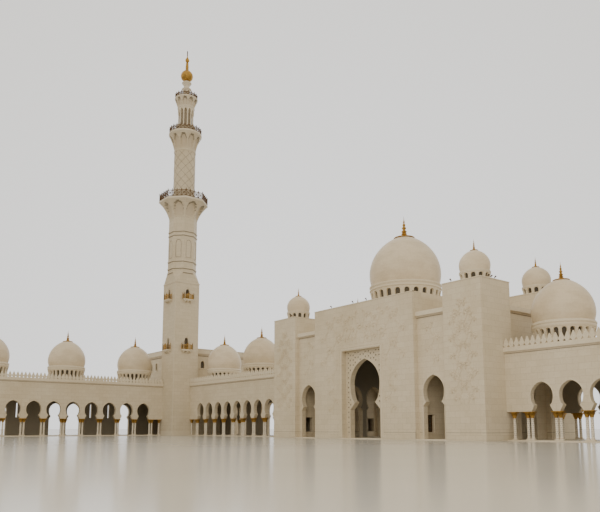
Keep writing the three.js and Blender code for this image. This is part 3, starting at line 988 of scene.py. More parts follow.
class Carving:
    """Low relief of stems, leaves and blossoms on the plane y = 0, standing out towards -Y."""

    def __init__(self, seed: int, depth: float = 0.07) -> None:
        """Starts an empty relief with its own row of random numbers.

        Args:
            seed: Start of its random numbers.
            depth: How far a leaf stands out.
        """
        self.random = random.Random(seed)
        self.depth = depth
        self.shape = Shape()

    def stem(self, points: Sequence[Point2], width: float) -> None:
        """A raised stem through the points."""
        self.shape.add(rim(points, 0, width, self.depth * 0.7, Look.RELIEF))

    def leaf(self, x: float, z: float, angle: float, length: float, width: float) -> None:
        """A pointed leaf with a ridge.

        Args:
            x: Its foot along X.
            z: Height of its foot.
            angle: Its direction from +X, in radians.
            length: Its length.
            width: Its greatest width.
        """
        along = Vector((math.cos(angle), 0, math.sin(angle)))
        side = Vector((-along.z, 0, along.x))
        rows = []
        for reach, wide, deep in ((0, 0, 0.3), (0.3, 0.9, 0.8), (0.62, 1.0, 1.0), (1.0, 0, 0.2)):
            middle = Vector((x, 0, z)) + along * length * reach
            base, edge = middle - OUTWARD * 0.02, side * width * wide / 2
            rows.append((base + edge, middle + OUTWARD * self.depth * deep, base - edge))
        self.shape.add(loft(rows, Look.RELIEF))

    def blossom(self, x: float, z: float, radius: float, petals: int) -> None:
        """Petals round a raised eye.

        Args:
            x: Its middle along X.
            z: Height of its middle.
            radius: Its radius.
            petals: How many petals.
        """
        start = self.random.uniform(0, math.tau)
        for i in range(petals):
            angle = start + math.tau * i / petals
            foot = (x + radius * 0.18 * math.cos(angle), z + radius * 0.18 * math.sin(angle))
            self.leaf(*foot, angle, radius * 0.85, radius * 0.7)
        profile = [(radius * 0.26, 0), (radius * 0.2, self.depth), (0, self.depth * 1.25)]
        self.shape.add(turned(profile, 8, Look.RELIEF), shift(x, 0, z) @ tilt(90))

    def shoot(self, x: float, z: float, side: int, size: float) -> None:
        """A curling side shoot that ends in a blossom, with leaves along it.

        Args:
            x: Its foot along X.
            z: Height of its foot.
            side: 1 to curl to the right, -1 to the left.
            size: Its size.
        """
        angle = math.pi / 2 - side * 0.5
        points = [(x, z)]
        for j in range(9):
            angle -= side * (0.16 + 0.07 * j)
            step = size * (0.2 - 0.008 * j)
            x, z = x + step * math.cos(angle), z + step * math.sin(angle)
            points.append((x, z))
            if j in (1, 3, 5):
                self.leaf(x, z, angle + side * 0.9, size * 0.42, size * 0.15)
                self.leaf(x, z, angle - side * 0.8, size * 0.3, size * 0.12)
        self.stem(points, size * 0.055)
        self.blossom(x, z, size * 0.24, 7)

    def climb(self, x: float, z0: float, z1: float, sway: float, step: float) -> None:
        """A climbing stem that sways, with a shoot at each bend and a blossom on top.

        Args:
            x: Its middle along X.
            z0: Height of its foot.
            z1: Height of its top.
            sway: How far it swings to each side.
            step: Height from bend to bend.
        """
        count = max(2, round((z1 - z0) / step))
        fine = count * 8
        points = [
            (x + sway * math.sin(i / fine * count * math.pi), z0 + (z1 - z0) * i / fine)
            for i in range(fine + 1)
        ]
        self.stem(points, 0.09)
        for k in range(count):
            side = 1 if k % 2 == 0 else -1
            low, high = points[k * 8 + 4], points[k * 8 + 7]
            self.shoot(*low, side, step * 0.62)
            self.leaf(*low, math.pi / 2 + side * 1.0, step * 0.4, step * 0.13)
            self.leaf(*high, math.pi / 2 - side * 1.2, step * 0.3, step * 0.11)
        self.blossom(*points[-1], step * 0.2, 8)


class Builder:
    """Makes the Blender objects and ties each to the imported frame."""

    def __init__(self) -> None:
        """Starts with no material made."""
        self.made: dict[Look, bpy.types.Material] = {}

    def material(self, look: Look) -> bpy.types.Material:
        """The material of a look, made at its first use.

        Args:
            look: The look.

        Returns:
            Its material.
        """
        if look not in self.made:
            self.made[look] = FINISHES[look].make(look.value)
        return self.made[look]

    def piece(self, name: str, shape: Shape, node: str, slot: str | None = None) -> None:
        """Stores a shape as the visual piece of one solid, at the origin and unscaled.

        Args:
            name: Name of the piece.
            shape: Its geometry in metres of the real building.
            node: The node of the frame that it stands for.
            slot: A material slot, where one fits the whole piece. It is not used.
        """
        mesh = bpy.data.meshes.new(name)
        mesh.from_pydata([v * SCALE for v in shape.verts], [], shape.faces)
        used = sorted(set(shape.looks), key=lambda look: look.value)
        for look in used:
            mesh.materials.append(self.material(look))
        mesh.polygons.foreach_set("material_index", [used.index(look) for look in shape.looks])
        mesh.polygons.foreach_set("use_smooth", shape.smooth)
        if any(shape.smooth):
            mesh.set_sharp_from_angle(angle=SHARP)
        mesh.update()
        piece = bpy.data.objects.new(name, mesh)
        bpy.context.scene.collection.objects.link(piece)
        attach(piece, "root")
        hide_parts(node)
        LOG.info("%s stands for %s, %d faces", name, node, len(shape.faces))


@dataclass
class Portal:
    """The domed block: a hall between two aisles, and four corner towers."""

    builder: Builder
    depth: float = 11.55
    hall_x: float = 12.0
    hall_end: float = 2.0
    tower_x: float = 17.85
    tower_y: float = 4.7
    bay_front: float = 10.65
    side_x: float = 23.9
    side_arch: float = 2.6
    aisle_top: float = 19.7
    cornice: float = 1.0
    roof: float = 0.7
    panel_x: float = 4.65
    panel_top: float = 15.05
    window: tuple[float, float, float, float] = (7.3, 9.0, 1.2, 3.85)

    def build(self) -> None:
        """Makes every piece of the portal."""
        shape = box((-PORTAL_X, -self.depth, 0), (PORTAL_X, self.depth, FLOOR), Look.TRIM, 0.02)
        self.builder.piece("portal_floor_stone", shape, "portal_floor", "marble")
        self._hall_ends()
        self._hall_sides()
        self._hall_roof()
        for word, sx in (("left", -1), ("right", 1)):
            self._aisle(word, sx)
            for place, sy in (("front", -1), ("rear", 1)):
                mirror = flip(sx, -sy)
                self._tower(f"{place}_{word}", mirror)
                self._bay(f"{place}_{word}", mirror)
        self.builder.piece("great_dome_stone", GREAT_DOME.build(96), "great_dome", "marble")
        gold = finial(GREAT_DOME.plate, GREAT_DOME.plate_z, GREAT_DOME.tip, 32)
        self.builder.piece("great_finial_gold", gold, "great_finial", "gold")

    def _opening(self, margin: float = 0.0, side: int = 1) -> list[Point2]:
        """The outline of a hall or tower window, grown by a margin.

        Args:
            margin: How far it is grown on every side.
            side: 1 for the window on the right, -1 for the one on the left.

        Returns:
            Its corners.
        """
        x0, x1, z0, z1 = self.window
        far, near = side * (x1 + margin), side * (x0 - margin)
        return [(far, z0 - margin), (near, z0 - margin), (near, z1 + margin), (far, z1 + margin)]

    def _lattice(self) -> Shape:
        """Rows of drilled holes, drawn as near black plates of painted shade, and small bosses on
        the recessed panel, clear of the arch.

        Returns:
            The rows on both sides of the arch.
        """
        shape = Shape()
        y = 1 - self.depth
        pitch, step = 1.25, 0.85

        def clear(x: float, z: float) -> bool:
            """Whether a place is on the panel and outside the arch."""
            return z < 14.75 and MAIN_ARCH.reach(z, 0.28, 0.2) < abs(x) < 4.3

        for k in range(-3, 4):
            for half, row in ((half, row) for half in (-1, 1) for row in range(34)):
                x, z = k * pitch + half * 0.25, 0.7 + row * step / 2
                if not clear(x, z):
                    continue
                if (row + k + (half > 0)) % 2:
                    base = diamond(x, z, 0.15, 0.19)
                    shape.add(stud(base, y + 0.01, (x, y - 0.05, z), Look.TRIM))
                    continue
                # A near black diamond plate stands for each drilled hole: painted shade, not a cut.
                hole = diamond(x, z, 0.12, 0.14)
                shape.add(upright(hole, y - 0.006, y + 0.02, Look.DARK))
                shape.add(border(ends(diamond(x, z, 0.19, 0.22)), y, 0.045, 0.04, Look.TRIM))
            x = (k + 0.5) * pitch
            for z in (0.9 + row * step for row in range(17)):
                if clear(x, z):
                    spur = [(x - 0.1, z), (x, z + 0.3), (x + 0.1, z)]
                    shape.add(rim(spur, y, 0.05, 0.03, Look.TRIM))
        return shape

    def _hall_ends(self) -> None:
        """The front wall with its recessed panel and main arch, and the rear wall like it."""
        y0, y1, x, top = -self.depth, 1 - self.depth, self.hall_x, PORTAL_TOP
        px, pz = self.panel_x, self.panel_top
        front = [
            (-x, FLOOR), (-px, FLOOR), (-px, pz), (px, pz), (px, FLOOR), (x, FLOOR), (x, top),
            (-x, top),
        ]
        back = [(-x, FLOOR), *MAIN_ARCH.outline(), (x, FLOOR), (x, top), (-x, top)]
        shape = upright(front, y0, y1).add(upright(back, y1, y0 + self.hall_end))
        shape.add(self._lattice())
        for inset, y, width, height in (
            (-0.25, y0, 0.22, 0.06), (-0.59, y0, 0.12, 0.06), (0.2, y1, 0.1, 0.05)
        ):
            side, head = px - inset, pz - inset
            corners = [(-side, 0.35), (-side, head), (side, head), (side, 0.35)]
            shape.add(border(corners, y, width, height, Look.TRIM))
        shape.add(rim(MAIN_ARCH.outline(grow=0.08), y1, 0.14, 0.06, Look.TRIM))
        for low, high in ((-x, -5.2), (5.2, x)):
            shape.add(box((low, y0 - 0.03, FLOOR), (high, y0 + 0.1, PLINTH_LOW)))
            line = ((low, y0 - 0.012, PLINTH_LOW), (high, y0 + 0.1, PLINTH_HIGH))
            shape.add(box(*line, Look.LINE))
        carving = Carving(7)
        for climb in (
            (6.5, 9.0, 21.2, 0.6, 2.3), (8.6, 12.2, 20.6, 0.5, 1.9), (4.4, 16.0, 21.4, 0.4, 1.7),
            (2.6, 16.1, 20.8, 0.4, 1.5), (0.85, 16.0, 21.5, 0.3, 1.6), (6.9, 4.2, 8.6, 0.35, 1.5),
        ):
            carving.climb(*climb)
        for sx in (1, -1):
            shape.add(carving.shape, shift(0, y0) @ flip(sx))
        shape.add(box((-x, y0 - 0.06, top - 0.12), (x, y0 + 0.4, top), Look.TRIM))
        for lamp_x in (-7.6, -1.9, 1.4):
            shape.add(roof_lamp(), shift(lamp_x, y0 + 0.3, top))
        # Faces inside the hall, behind the front panel, take the dark stone: painted shade.
        shape.paint(Look.INNER, lambda v: v.y > y0 + self.hall_end - 0.01)
        self.builder.piece("hall_front_wall_stone", shape, "hall_front_wall", "marble")
        self.builder.piece(
            "hall_rear_wall_stone", shape.moved(flip(1, -1)), "hall_rear_wall", "marble"
        )

    def _hall_sides(self) -> None:
        """The hall's side walls, with two arches and two windows each."""
        y, top = self.depth - self.hall_end, PORTAL_TOP - self.roof
        outline = [(-y, FLOOR)]
        for centre in (-self.side_arch, self.side_arch):
            outline += BAY_ARCH.outline(centre)
        outline += [(y, FLOOR), (y, top), (-y, top)]
        holes = [self._opening(side=m) for m in (-1, 1)]
        side = upright(outline, -WALL / 2, WALL / 2, holes=holes)
        for spin, m in ((spin, m) for spin in (0, 180) for m in (-1, 1)):
            edge = BAY_ARCH.outline(m * self.side_arch, 0.1)
            side.add(rim(edge, -WALL / 2, 0.16, 0.06, Look.TRIM), turn(spin))
            corners = ends(self._opening(0.1, m))
            side.add(border(corners, -WALL / 2, 0.16, 0.08, Look.TRIM), turn(spin))
        inner = self.hall_x - WALL + 0.01
        for word, sx in (("left", -1), ("right", 1)):
            wall = side.moved(shift(sx * (self.hall_x - WALL / 2), 0) @ turn(90))
            # Faces inside the hall take the dark stone: painted shade.
            wall.paint(Look.INNER, lambda v: abs(v.x) < inner)
            self.builder.piece(f"hall_{word}_wall_stone", wall, f"hall_{word}_wall", "marble")
            for where, sy in (("front", -1), ("rear", 1)):
                glazing = self._glazing().moved(shift(sx * (self.hall_x - WALL / 2), sy * 8.15))
                name = f"{where}_{word}_hall_window"
                self.builder.piece(name + "_glazing", glazing, name, "glass")

    def _hall_roof(self) -> None:
        """The hall's roof slab, open under the great dome."""
        x, y, z0 = self.hall_x, self.depth - self.hall_end, PORTAL_TOP - self.roof
        outline = [(-x, -y), (x, -y), (x, y), (-x, y)]
        roof = level(outline, z0, PORTAL_TOP, Look.TRIM, [circle(5.2, 32)])
        # The slab's underside takes the dark stone: painted shade.
        roof.paint(Look.INNER, lambda v: v.z < z0 + 0.01)
        self.builder.piece("hall_roof_stone", roof, "hall_roof", "marble")

    @staticmethod
    def _glazing() -> Shape:
        """Fixed window in the plane x = 0: frame, crossing bars and dark glass.

        Returns:
            The window, with its middle on the plane y = 0.
        """
        shape = box((-0.03, -0.75, 1.3), (0.03, 0.75, 3.75), Look.GLASS)
        for y0, y1, z0, z1 in (
            (-0.845, -0.7, 1.205, 3.845), (0.7, 0.845, 1.205, 3.845),
            (-0.845, 0.845, 1.205, 1.35), (-0.845, 0.845, 3.7, 3.845), (-0.05, 0.05, 1.3, 3.75),
        ):
            shape.add(box((-0.1, y0, z0), (0.1, y1, z1), Look.BRONZE, 0.015))
        for z in (1.93, 2.52, 3.11):
            shape.add(box((-0.06, -0.75, z - 0.03), (0.06, 0.75, z + 0.03), Look.BRONZE))
        return shape

    def _tower(self, word: str, mirror: Matrix) -> None:
        """One corner tower with its dome.

        Args:
            word: Its name without its kind.
            mirror: Takes the front right corner, where it is drawn, to its own.
        """
        x0, x1, y0, y1 = self.tower_x, PORTAL_X, -self.depth, -self.tower_y
        top, middle = PORTAL_TOP, (21.275, -8.125)
        shape = box((x0, y0, FLOOR), (x1, y0 + WALL, top))
        shape.add(box((x0, y1 - WALL, FLOOR), (x1, y1, top)))
        shape.add(box((x1 - WALL, y0 + WALL, FLOOR), (x1, y1 - WALL, top)))
        near, far = -y0 - WALL, -y1 + WALL
        inner = [(near, FLOOR), (far, FLOOR), (far, top), (near, top)]
        wall = upright(inner, 0, WALL, holes=[self._opening()])
        wall.add(border(ends(self._opening(0.1)), 0, 0.16, 0.08, Look.TRIM))
        shape.add(wall, shift(x0, 0) @ turn(-90))
        a, b, c, d = x0 + 0.5, y0 + 0.5, x1 - 0.5, y1 - 0.5
        well = circle(1.5, 32, centre=middle)
        roof = level([(a, b), (c, b), (c, d), (a, d)], top - 0.7, top - 0.01, Look.TRIM, [well])
        shape.add(roof)
        for z0, z1, out, look in (
            (FLOOR, PLINTH_LOW, 0.03, Look.MARBLE), (PLINTH_LOW, PLINTH_HIGH, 0.012, Look.LINE),
            (top - 0.12, top, 0.06, Look.TRIM),
        ):
            for low, high in (
                ((x0 - out, y0 - out), (x1 + out, y0 + 0.1)),
                ((x0 - out, y1 - 0.1), (x1 + out, y1 + out)),
                ((x0 - out, y0 + 0.1), (x0 + 0.1, y1 - 0.1)),
                ((x1 - 0.1, y0 + 0.1), (x1 + out, y1 - 0.1)),
            ):
                shape.add(box((*low, z0), (*high, z1), look))
        for y in (-9.3, -8.6, -7.7):
            shape.add(roof_lamp(), shift(x1 - 0.3, y, top) @ turn(90))
        shape.add(roof_lamp(), shift(19.3, y0 + 0.3, top))
        carving = Carving(21)
        carving.climb(0.55, 5.2, 20.2, 0.35, 1.5)
        carving.climb(1.3, 6.4, 18.8, 0.3, 1.3)
        for sx in (1, -1):
            shape.add(carving.shape, shift((x0 + x1) / 2, y0) @ flip(sx))
        self.builder.piece(f"{word}_tower_stone", shape.moved(mirror), f"{word}_tower", "marble")
        dome = TOWER_DOME.build(40, 14).moved(mirror @ shift(21.28, -8.12))
        self.builder.piece(f"{word}_tower_dome_stone", dome, f"{word}_tower_dome")

    def _bay(self, word: str, mirror: Matrix) -> None:
        """Recessed wall with its arch between the hall and a corner tower.

        Args:
            word: Its name without its kind.
            mirror: Takes the front right corner, where it is drawn, to its own.
        """
        x0, x1, y, top = self.hall_x, self.tower_x, -self.bay_front, self.aisle_top - self.cornice
        middle = (x0 + x1) / 2
        outline = [(x0, FLOOR), *BAY_ARCH.outline(middle), (x1, FLOOR), (x1, top), (x0, top)]
        shape = upright(outline, y, y + WALL)
        shape.add(rim(BAY_ARCH.outline(middle, 0.08), y, 0.14, 0.05, Look.TRIM))
        for low, high in ((x0 + 0.05, middle - 2.35), (middle + 2.35, x1 - 0.05)):
            shape.add(rim([(low, 1.17), (high, 1.17)], y, 0.08, 0.012, Look.LINE))
        carving = Carving(35, 0.06)
        carving.climb(middle, 11.2, 17.6, 0.35, 1.6)
        shape.add(carving.shape, shift(0, y))
        name = f"{word}_bay_wall"
        self.builder.piece(name + "_stone", shape.moved(mirror), name, "marble")

    def _aisle(self, word: str, sx: int) -> None:
        """Side aisle roof with its cornice, and the end wall between the two towers.

        Args:
            word: The side's name.
            sx: -1 for the left side, 1 for the right one.
        """
        shape = Shape()
        low, tx, ty = self.aisle_top - self.cornice, self.tower_x, self.tower_y
        # The cornice's lowest layers are darker: a painted shadow line and painted shade in its
        # cove.
        for z0, z1, out, look in (
            (low, low + 0.1, 0.05, Look.LINE), (low + 0.1, low + 0.22, 0.16, Look.CARVED),
            (low + 0.22, low + 0.34, 0.28, Look.CARVED),
            (low + 0.34, self.aisle_top, 0.45, Look.TRIM),
        ):
            y, x = self.bay_front + out, self.side_x + out
            right = [(self.hall_x, y), (tx, y), (tx, ty), (x, ty)]
            points = [(u, -v) for u, v in right] + right[::-1]
            shape.add(level(points, z0, z1, look))
        name = f"{word}_aisle_roof"
        self.builder.piece(name + "_stone", shape.moved(flip(sx)), name, "marble")
        outline = [(-ty, FLOOR), *BAY_ARCH.outline(), (ty, FLOOR), (ty, low), (-ty, low)]
        wall = upright(outline, -WALL / 2, WALL / 2)
        wall.add(rim(BAY_ARCH.outline(grow=0.12), -WALL / 2, 0.18, 0.08, Look.TRIM))
        wall = wall.moved(flip(sx) @ shift(self.side_x - WALL / 2, 0) @ turn(90))
        self.builder.piece(f"{word}_aisle_wall_stone", wall, f"{word}_aisle_wall", "marble")


@dataclass(frozen=True)
class Row:
    """One long side of a wing: its ends, arches, pairs of columns, end columns and slits."""

    x0: float
    x1: float
    centres: Sequence[float]
    piers: Sequence[float]
    posts: Sequence[float] = ()
    slits: Sequence[float] = ()


@dataclass(frozen=True)
class WingSpec:
    """One arcade wing, drawn along X with its front at negative Y.

    Each corner of its footprint has its X and Y, and the way that a cornice there stands out.
    """

    name: str
    front: Row
    rear: Row
    corners: Sequence[tuple[float, float, int, int]]
    domes: Sequence[float]
    place: Matrix
    end: float | None = None
    inward: int = 0

    def footprint(self, out: float = 0.0) -> list[Point2]:
        """The outline of the floor, or of a slab that stands out past it."""
        return [(x + along * out, y + across * out) for x, y, along, across in self.corners]


def row_of(first: float, step: float, count: int) -> list[float]:
    """Evenly spaced places."""
    return [first + step * i for i in range(count)]


@dataclass
class Wings:
    """The arcade wings on paired columns, with their domes and merlons."""

    builder: Builder
    half: float = 6.65
    wall: float = 0.8
    roof: float = 12.25
    step: float = 4.2
    side_step: float = 4.42
    side_centre: float = -80.6
    side_end: float = -59.1
    right_end: float = 53.4
    merlon: float = 0.84

    def build(self) -> None:
        """Makes every piece of the three wings."""
        pair = self._columns((-0.32, 0.32), 0.64, 0.86)
        post = self._columns((0.0,), 0.31, 0.5)
        dome = WING_DOME.build(64, 20)
        for spec in self._specs():
            self._wing(spec, pair, post, dome)

    @staticmethod
    def _capital() -> Shape:
        """Gold palm capital of one shaft: a bell wrapped in two rings of leaves.

        Returns:
            The capital, on the vertical axis at its own height.
        """
        bell = [
            (0.19, 3.14), (0.24, 3.19), (0.2, 3.25), (0.21, 3.38), (0.25, 3.58), (0.31, 3.76),
            (0.36, 3.88), (0.38, 3.98),
        ]
        shape = turned(bell, 16, Look.GOLD)
        for z0, z1, reach, start in ((3.2, 3.7, 0.44, 0.0), (3.36, 3.96, 0.56, 0.5)):
            rows = []
            for t, r, w in (
                (0, 0.21, 0.06), (0.4, 0.26, 0.11), (0.75, reach * 0.8, 0.13), (0.96, reach, 0.05),
            ):
                z = z0 + (z1 - z0) * t
                rows.append([(r, -w, z), (r + 0.03, 0.0, z), (r, w, z)])
            leaf = loft(rows, Look.GOLD)
            for i in range(9):
                shape.add(leaf, turn(40 * (i + start)))
        return shape

    @staticmethod
    def _shaft() -> Shape:
        """One column: a turned foot with a gold ring, and a shaft with inlaid diamonds.

        Returns:
            The column, on the vertical axis.
        """
        profile = [
            (0.27, 0.3), (0.29, 0.36), (0.27, 0.42), (0.225, 0.45), (0.24, 0.5), (0.207, 0.55),
            (0.207, 0.62), (0.204, 1.6), (0.198, 2.6), (0.19, 3.1), (0.21, 3.13), (0.19, 3.16),
        ]
        shape = turned(profile, 20, Look.SHAFT)
        shape.add(turned([(0.225, 0.44), (0.25, 0.47), (0.225, 0.5)], 20, Look.GOLD))
        for row in range(9):
            z = 0.8 + row * 0.27
            rings = []
            for sunk in (0.03, 0.0):
                ring = []
                for angle, v in diamond(0, z, 0.2, 0.075):
                    r = 0.2151 - 0.006 * v - sunk
                    ring.append((r * math.cos(angle), r * math.sin(angle), v))
                rings.append(ring)
            inlay = loft(rings, Look.DARK)
            for k in range(6):
                shape.add(inlay, turn(60 * (k + (row % 2) / 2)))
        return shape

    def _columns(self, places: Sequence[float], base: float, abacus: float) -> Shape:
        """Columns that share a base and a gold abacus.

        Args:
            places: Each column's place along X.
            base: Half length of the base.
            abacus: Half length of the abacus.

        Returns:
            The columns, standing on the floor.
        """
        shape = box((-base, -0.31, FLOOR), (base, 0.31, 0.31), Look.TRIM, 0.02)
        column = self._shaft().add(self._capital())
        for x in places:
            shape.add(column, shift(x, 0))
        return shape.add(box((-abacus, -0.4, 3.95), (abacus, 0.4, IMPOST), Look.GOLD, 0.02))

    def _outline(self, x0: float, x1: float, centres: Sequence[float]) -> list[Point2]:
        """Outline of an arcade wall: on columns, and down to the floor where arches are far apart.

        Args:
            x0: Its left end.
            x1: Its right end.
            centres: Middles of its arches.

        Returns:
            The outline, from its lower left corner on.
        """
        points: list[Point2] = []
        last = x0
        for centre in (*centres, x1):
            start = x0 if last == x0 else last + ARCADE_ARCH.jamb
            stop = x1 if centre == x1 else centre - ARCADE_ARCH.jamb
            walled = centre - last > 1.5 * self.step
            if walled:
                points += [(start, FLOOR), (stop, FLOOR)]
            elif last == x0:
                points.append((x0, IMPOST))
            if centre != x1:
                points += ARCADE_ARCH.outline(centre)
            elif not walled:
                points.append((x1, IMPOST))
            last = centre
        return points + [(x1, self.roof), (x0, self.roof)]

    def _arcade(
        self, x0: float, x1: float, centres: Sequence[float], slits: Sequence[float], inside: int
    ) -> Shape:
        """An arcade wall in the plane y = 0, with a moulding round every arch on both faces.

        Args:
            x0: Its left end.
            x1: Its right end.
            centres: Middles of its arches.
            slits: Middles of its slits.
            inside: 1 where +Y is the wing's inside, else -1.

        Returns:
            The wall.
        """
        half = self.wall / 2
        holes = [window_head(0.44, 4.5, 8.0, x) for x in slits]
        shape = upright(self._outline(x0, x1, centres), -half, half, holes=holes)
        # The face towards the wing's inside takes the dark stone: painted shade.
        shape.paint(Look.INNER, lambda v: v.y * inside > half - 0.01)
        for spin, centre in ((spin, centre) for spin in (0, 180) for centre in centres):
            edge = ARCADE_ARCH.outline(-centre if spin else centre, 0.07)
            shape.add(rim(edge, -half, 0.13, 0.05, Look.TRIM), turn(spin))
        return shape

    def _merlons(self, x0: float, x1: float) -> Shape:
        """A low wall with a row of spade shaped merlons along X, in the plane y = 0.

        Args:
            x0: Its left end.
            x1: Its right end.

        Returns:
            The wall with its merlons.
        """
        count = max(1, round((x1 - x0) / self.merlon))
        w = (x1 - x0) / count
        half = [
            (0.22, 13.16), (0.22, 13.28), (0.3, 13.38), (w / 2 - 0.015, 13.52),
            (w / 2 - 0.03, 13.66), (0.32, 13.8), (0.25, 13.93), (0.2, 14.06), (0.13, 14.24),
            (0.06, 14.4), (0.0, 14.5),
        ]
        outline = half + [(-x, z) for x, z in reversed(half[:-1])]
        merlon = upright(outline, -0.11, 0.11, Look.TRIM)
        base = [(0.0, 13.4), (0.17, 13.64), (0.0, 13.95), (-0.17, 13.64)]
        for spin in (0, 180):
            merlon.add(stud(base, -0.1, (0, -0.15, 13.66), Look.TRIM), turn(spin))
        shape = box((x0, -0.15, WING_TOP - 0.05), (x1, 0.15, 13.1), Look.TRIM)
        shape.add(box((x0, -0.12, 13.1), (x1, 0.12, 13.2), Look.TRIM))
        for i in range(count):
            shape.add(merlon, shift(x0 + w * (i + 0.5), 0))
        return shape

    def _wing(self, spec: WingSpec, pair: Shape, post: Shape, dome: Shape) -> None:
        """Makes the pieces of one wing.

        Args:
            spec: The wing's sizes.
            pair: A pair of columns at the origin.
            post: A single column at the origin.
            dome: A dome on the vertical axis.
        """
        y, piece = self.half - self.wall / 2, self.builder.piece
        floor = level(spec.footprint(), 0, FLOOR, Look.TRIM)
        roof = Shape()
        wells = [circle(3.3, 32, centre=(x, 0.0)) for x in spec.domes]
        # The cornice's lowest layers are darker: a painted shadow line and painted shade in its
        # cove.
        for z0, z1, out, look in (
            (self.roof, 12.34, 0.04, Look.LINE), (12.34, 12.46, 0.1, Look.CARVED),
            (12.46, 12.56, 0.18, Look.CARVED), (12.56, WING_TOP, 0.3, Look.TRIM),
        ):
            roof.add(level(spec.footprint(out), z0, z1, look, wells))
        # The roof's underside takes the dark stone: painted shade.
        roof.paint(Look.INNER, lambda v: v.z < self.roof + 0.01)
        for word, side, row in (("front", -1, spec.front), ("rear", 1, spec.rear)):
            wall = self._arcade(row.x0, row.x1, row.centres, row.slits, -side)
            name = f"{spec.name}_{word}_arcade"
            piece(name + "_stone", wall.moved(spec.place @ shift(0, side * y)), name, "marble")
            for columns, places in ((pair, row.piers), (post, row.posts)):
                for x in places:
                    floor.add(columns, shift(x, side * y))
            roof.add(self._merlons(row.x0, row.x1), shift(0, side * (self.half + 0.05)))
        if spec.end is not None:
            half = self.half - self.wall
            across = shift(spec.end + spec.inward * self.wall / 2, 0) @ turn(90)
            wall = self._arcade(-half, half, (-3.9, 0.0, 3.9), (), -spec.inward)
            name = f"{spec.name}_end_arcade"
            piece(name + "_stone", wall.moved(spec.place @ across), name, "marble")
            for x in (-1.95, 1.95):
                floor.add(pair, across @ shift(x, 0))
            edge = shift(spec.end - spec.inward * 0.05, 0) @ turn(90)
            roof.add(self._merlons(0.2 - self.half, self.half - 0.2), edge)
        piece(f"{spec.name}_columns", floor.moved(spec.place), f"{spec.name}_floor_and_columns")
        piece(f"{spec.name}_roof_stone", roof.moved(spec.place), f"{spec.name}_roof", "marble")
        for i, x in enumerate(spec.domes):
            name = f"{spec.name}_dome_{i + 1}"
            piece(name + "_stone", dome.moved(spec.place @ shift(x, 0)), name)

    def _specs(self) -> list[WingSpec]:
        """The three wings, with the same sizes as their solids.

        Returns:
            The left, right and side wing.
        """
        low, high, inner = -self.half, self.half, -PORTAL_X
        face, behind = MINARET[0] + MINARET_HALF + GAP, MINARET[1] + MINARET_HALF + GAP
        beside, before = MINARET[0] - MINARET_HALF - GAP, MINARET[1] - MINARET_HALF - GAP
        block, corner, notch = BLOCK[1], BLOCK[2], self.side_centre - beside
        end, close, step = self.right_end, self.side_end, self.side_step
        first = -16.6 - 9 * step
        return [
            WingSpec(
                "left_wing",
                Row(
                    face, inner, row_of(-62.7, self.step, 9), row_of(-64.8, self.step, 10),
                    (-67.7, -25.25),
                ),
                Row(
                    block, inner, (-66.9, -62.7, -50.1, -45.9, -33.3, -29.1),
                    (-64.8, -48.0, -31.2, -27.0), (-25.25,), (-58.5, -54.3, -41.7, -37.5),
                ),
                (
                    (face, low, 0, -1), (inner, low, 0, -1), (inner, high, 0, 1),
                    (block, high, 0, 1), (block, behind, 0, 0), (face, behind, 0, 0),
                ),
                (-62.7, -45.9, -29.1), Matrix.Identity(4),
            ),
            WingSpec(
                "right_wing",
                Row(
                    PORTAL_X, end, row_of(30.2, self.step, 6),
                    [*row_of(28.1, self.step, 6), 52.6], (25.65,),
                ),
                Row(
                    PORTAL_X, end, (30.2, 34.4, 47.0, 51.2), (28.1, 32.3, 49.1, 52.6), (25.65,),
                    (38.6, 42.8),
                ),
                (
                    (PORTAL_X, low, 0, -1), (end, low, 1, -1), (end, high, 1, 1),
                    (PORTAL_X, high, 0, 1),
                ),
                (30.2, 47.0), Matrix.Identity(4), end, -1,
            ),
            WingSpec(
                "side_wing",
                Row(
                    close, before, row_of(first, step, 10),
                    [*row_of(first + step / 2, step, 10), close + 0.8], (-12.1,),
                ),
                Row(
                    close, corner, (-51.96, -47.54, -34.28, -29.86, -16.6), (-49.75, -32.07),
                    slits=(-56.38, -43.5, -25.44, -20.7),
                ),
                (
                    (close, low, -1, -1), (before, low, 0, -1), (before, notch, 0, 0),
                    (corner, notch, 0, 0), (corner, high, 0, 1), (close, high, -1, 1),
                ),
                (-51.8, -34.1, -16.5), shift(self.side_centre, 0) @ turn(90), close, 1,
            ),
        ]


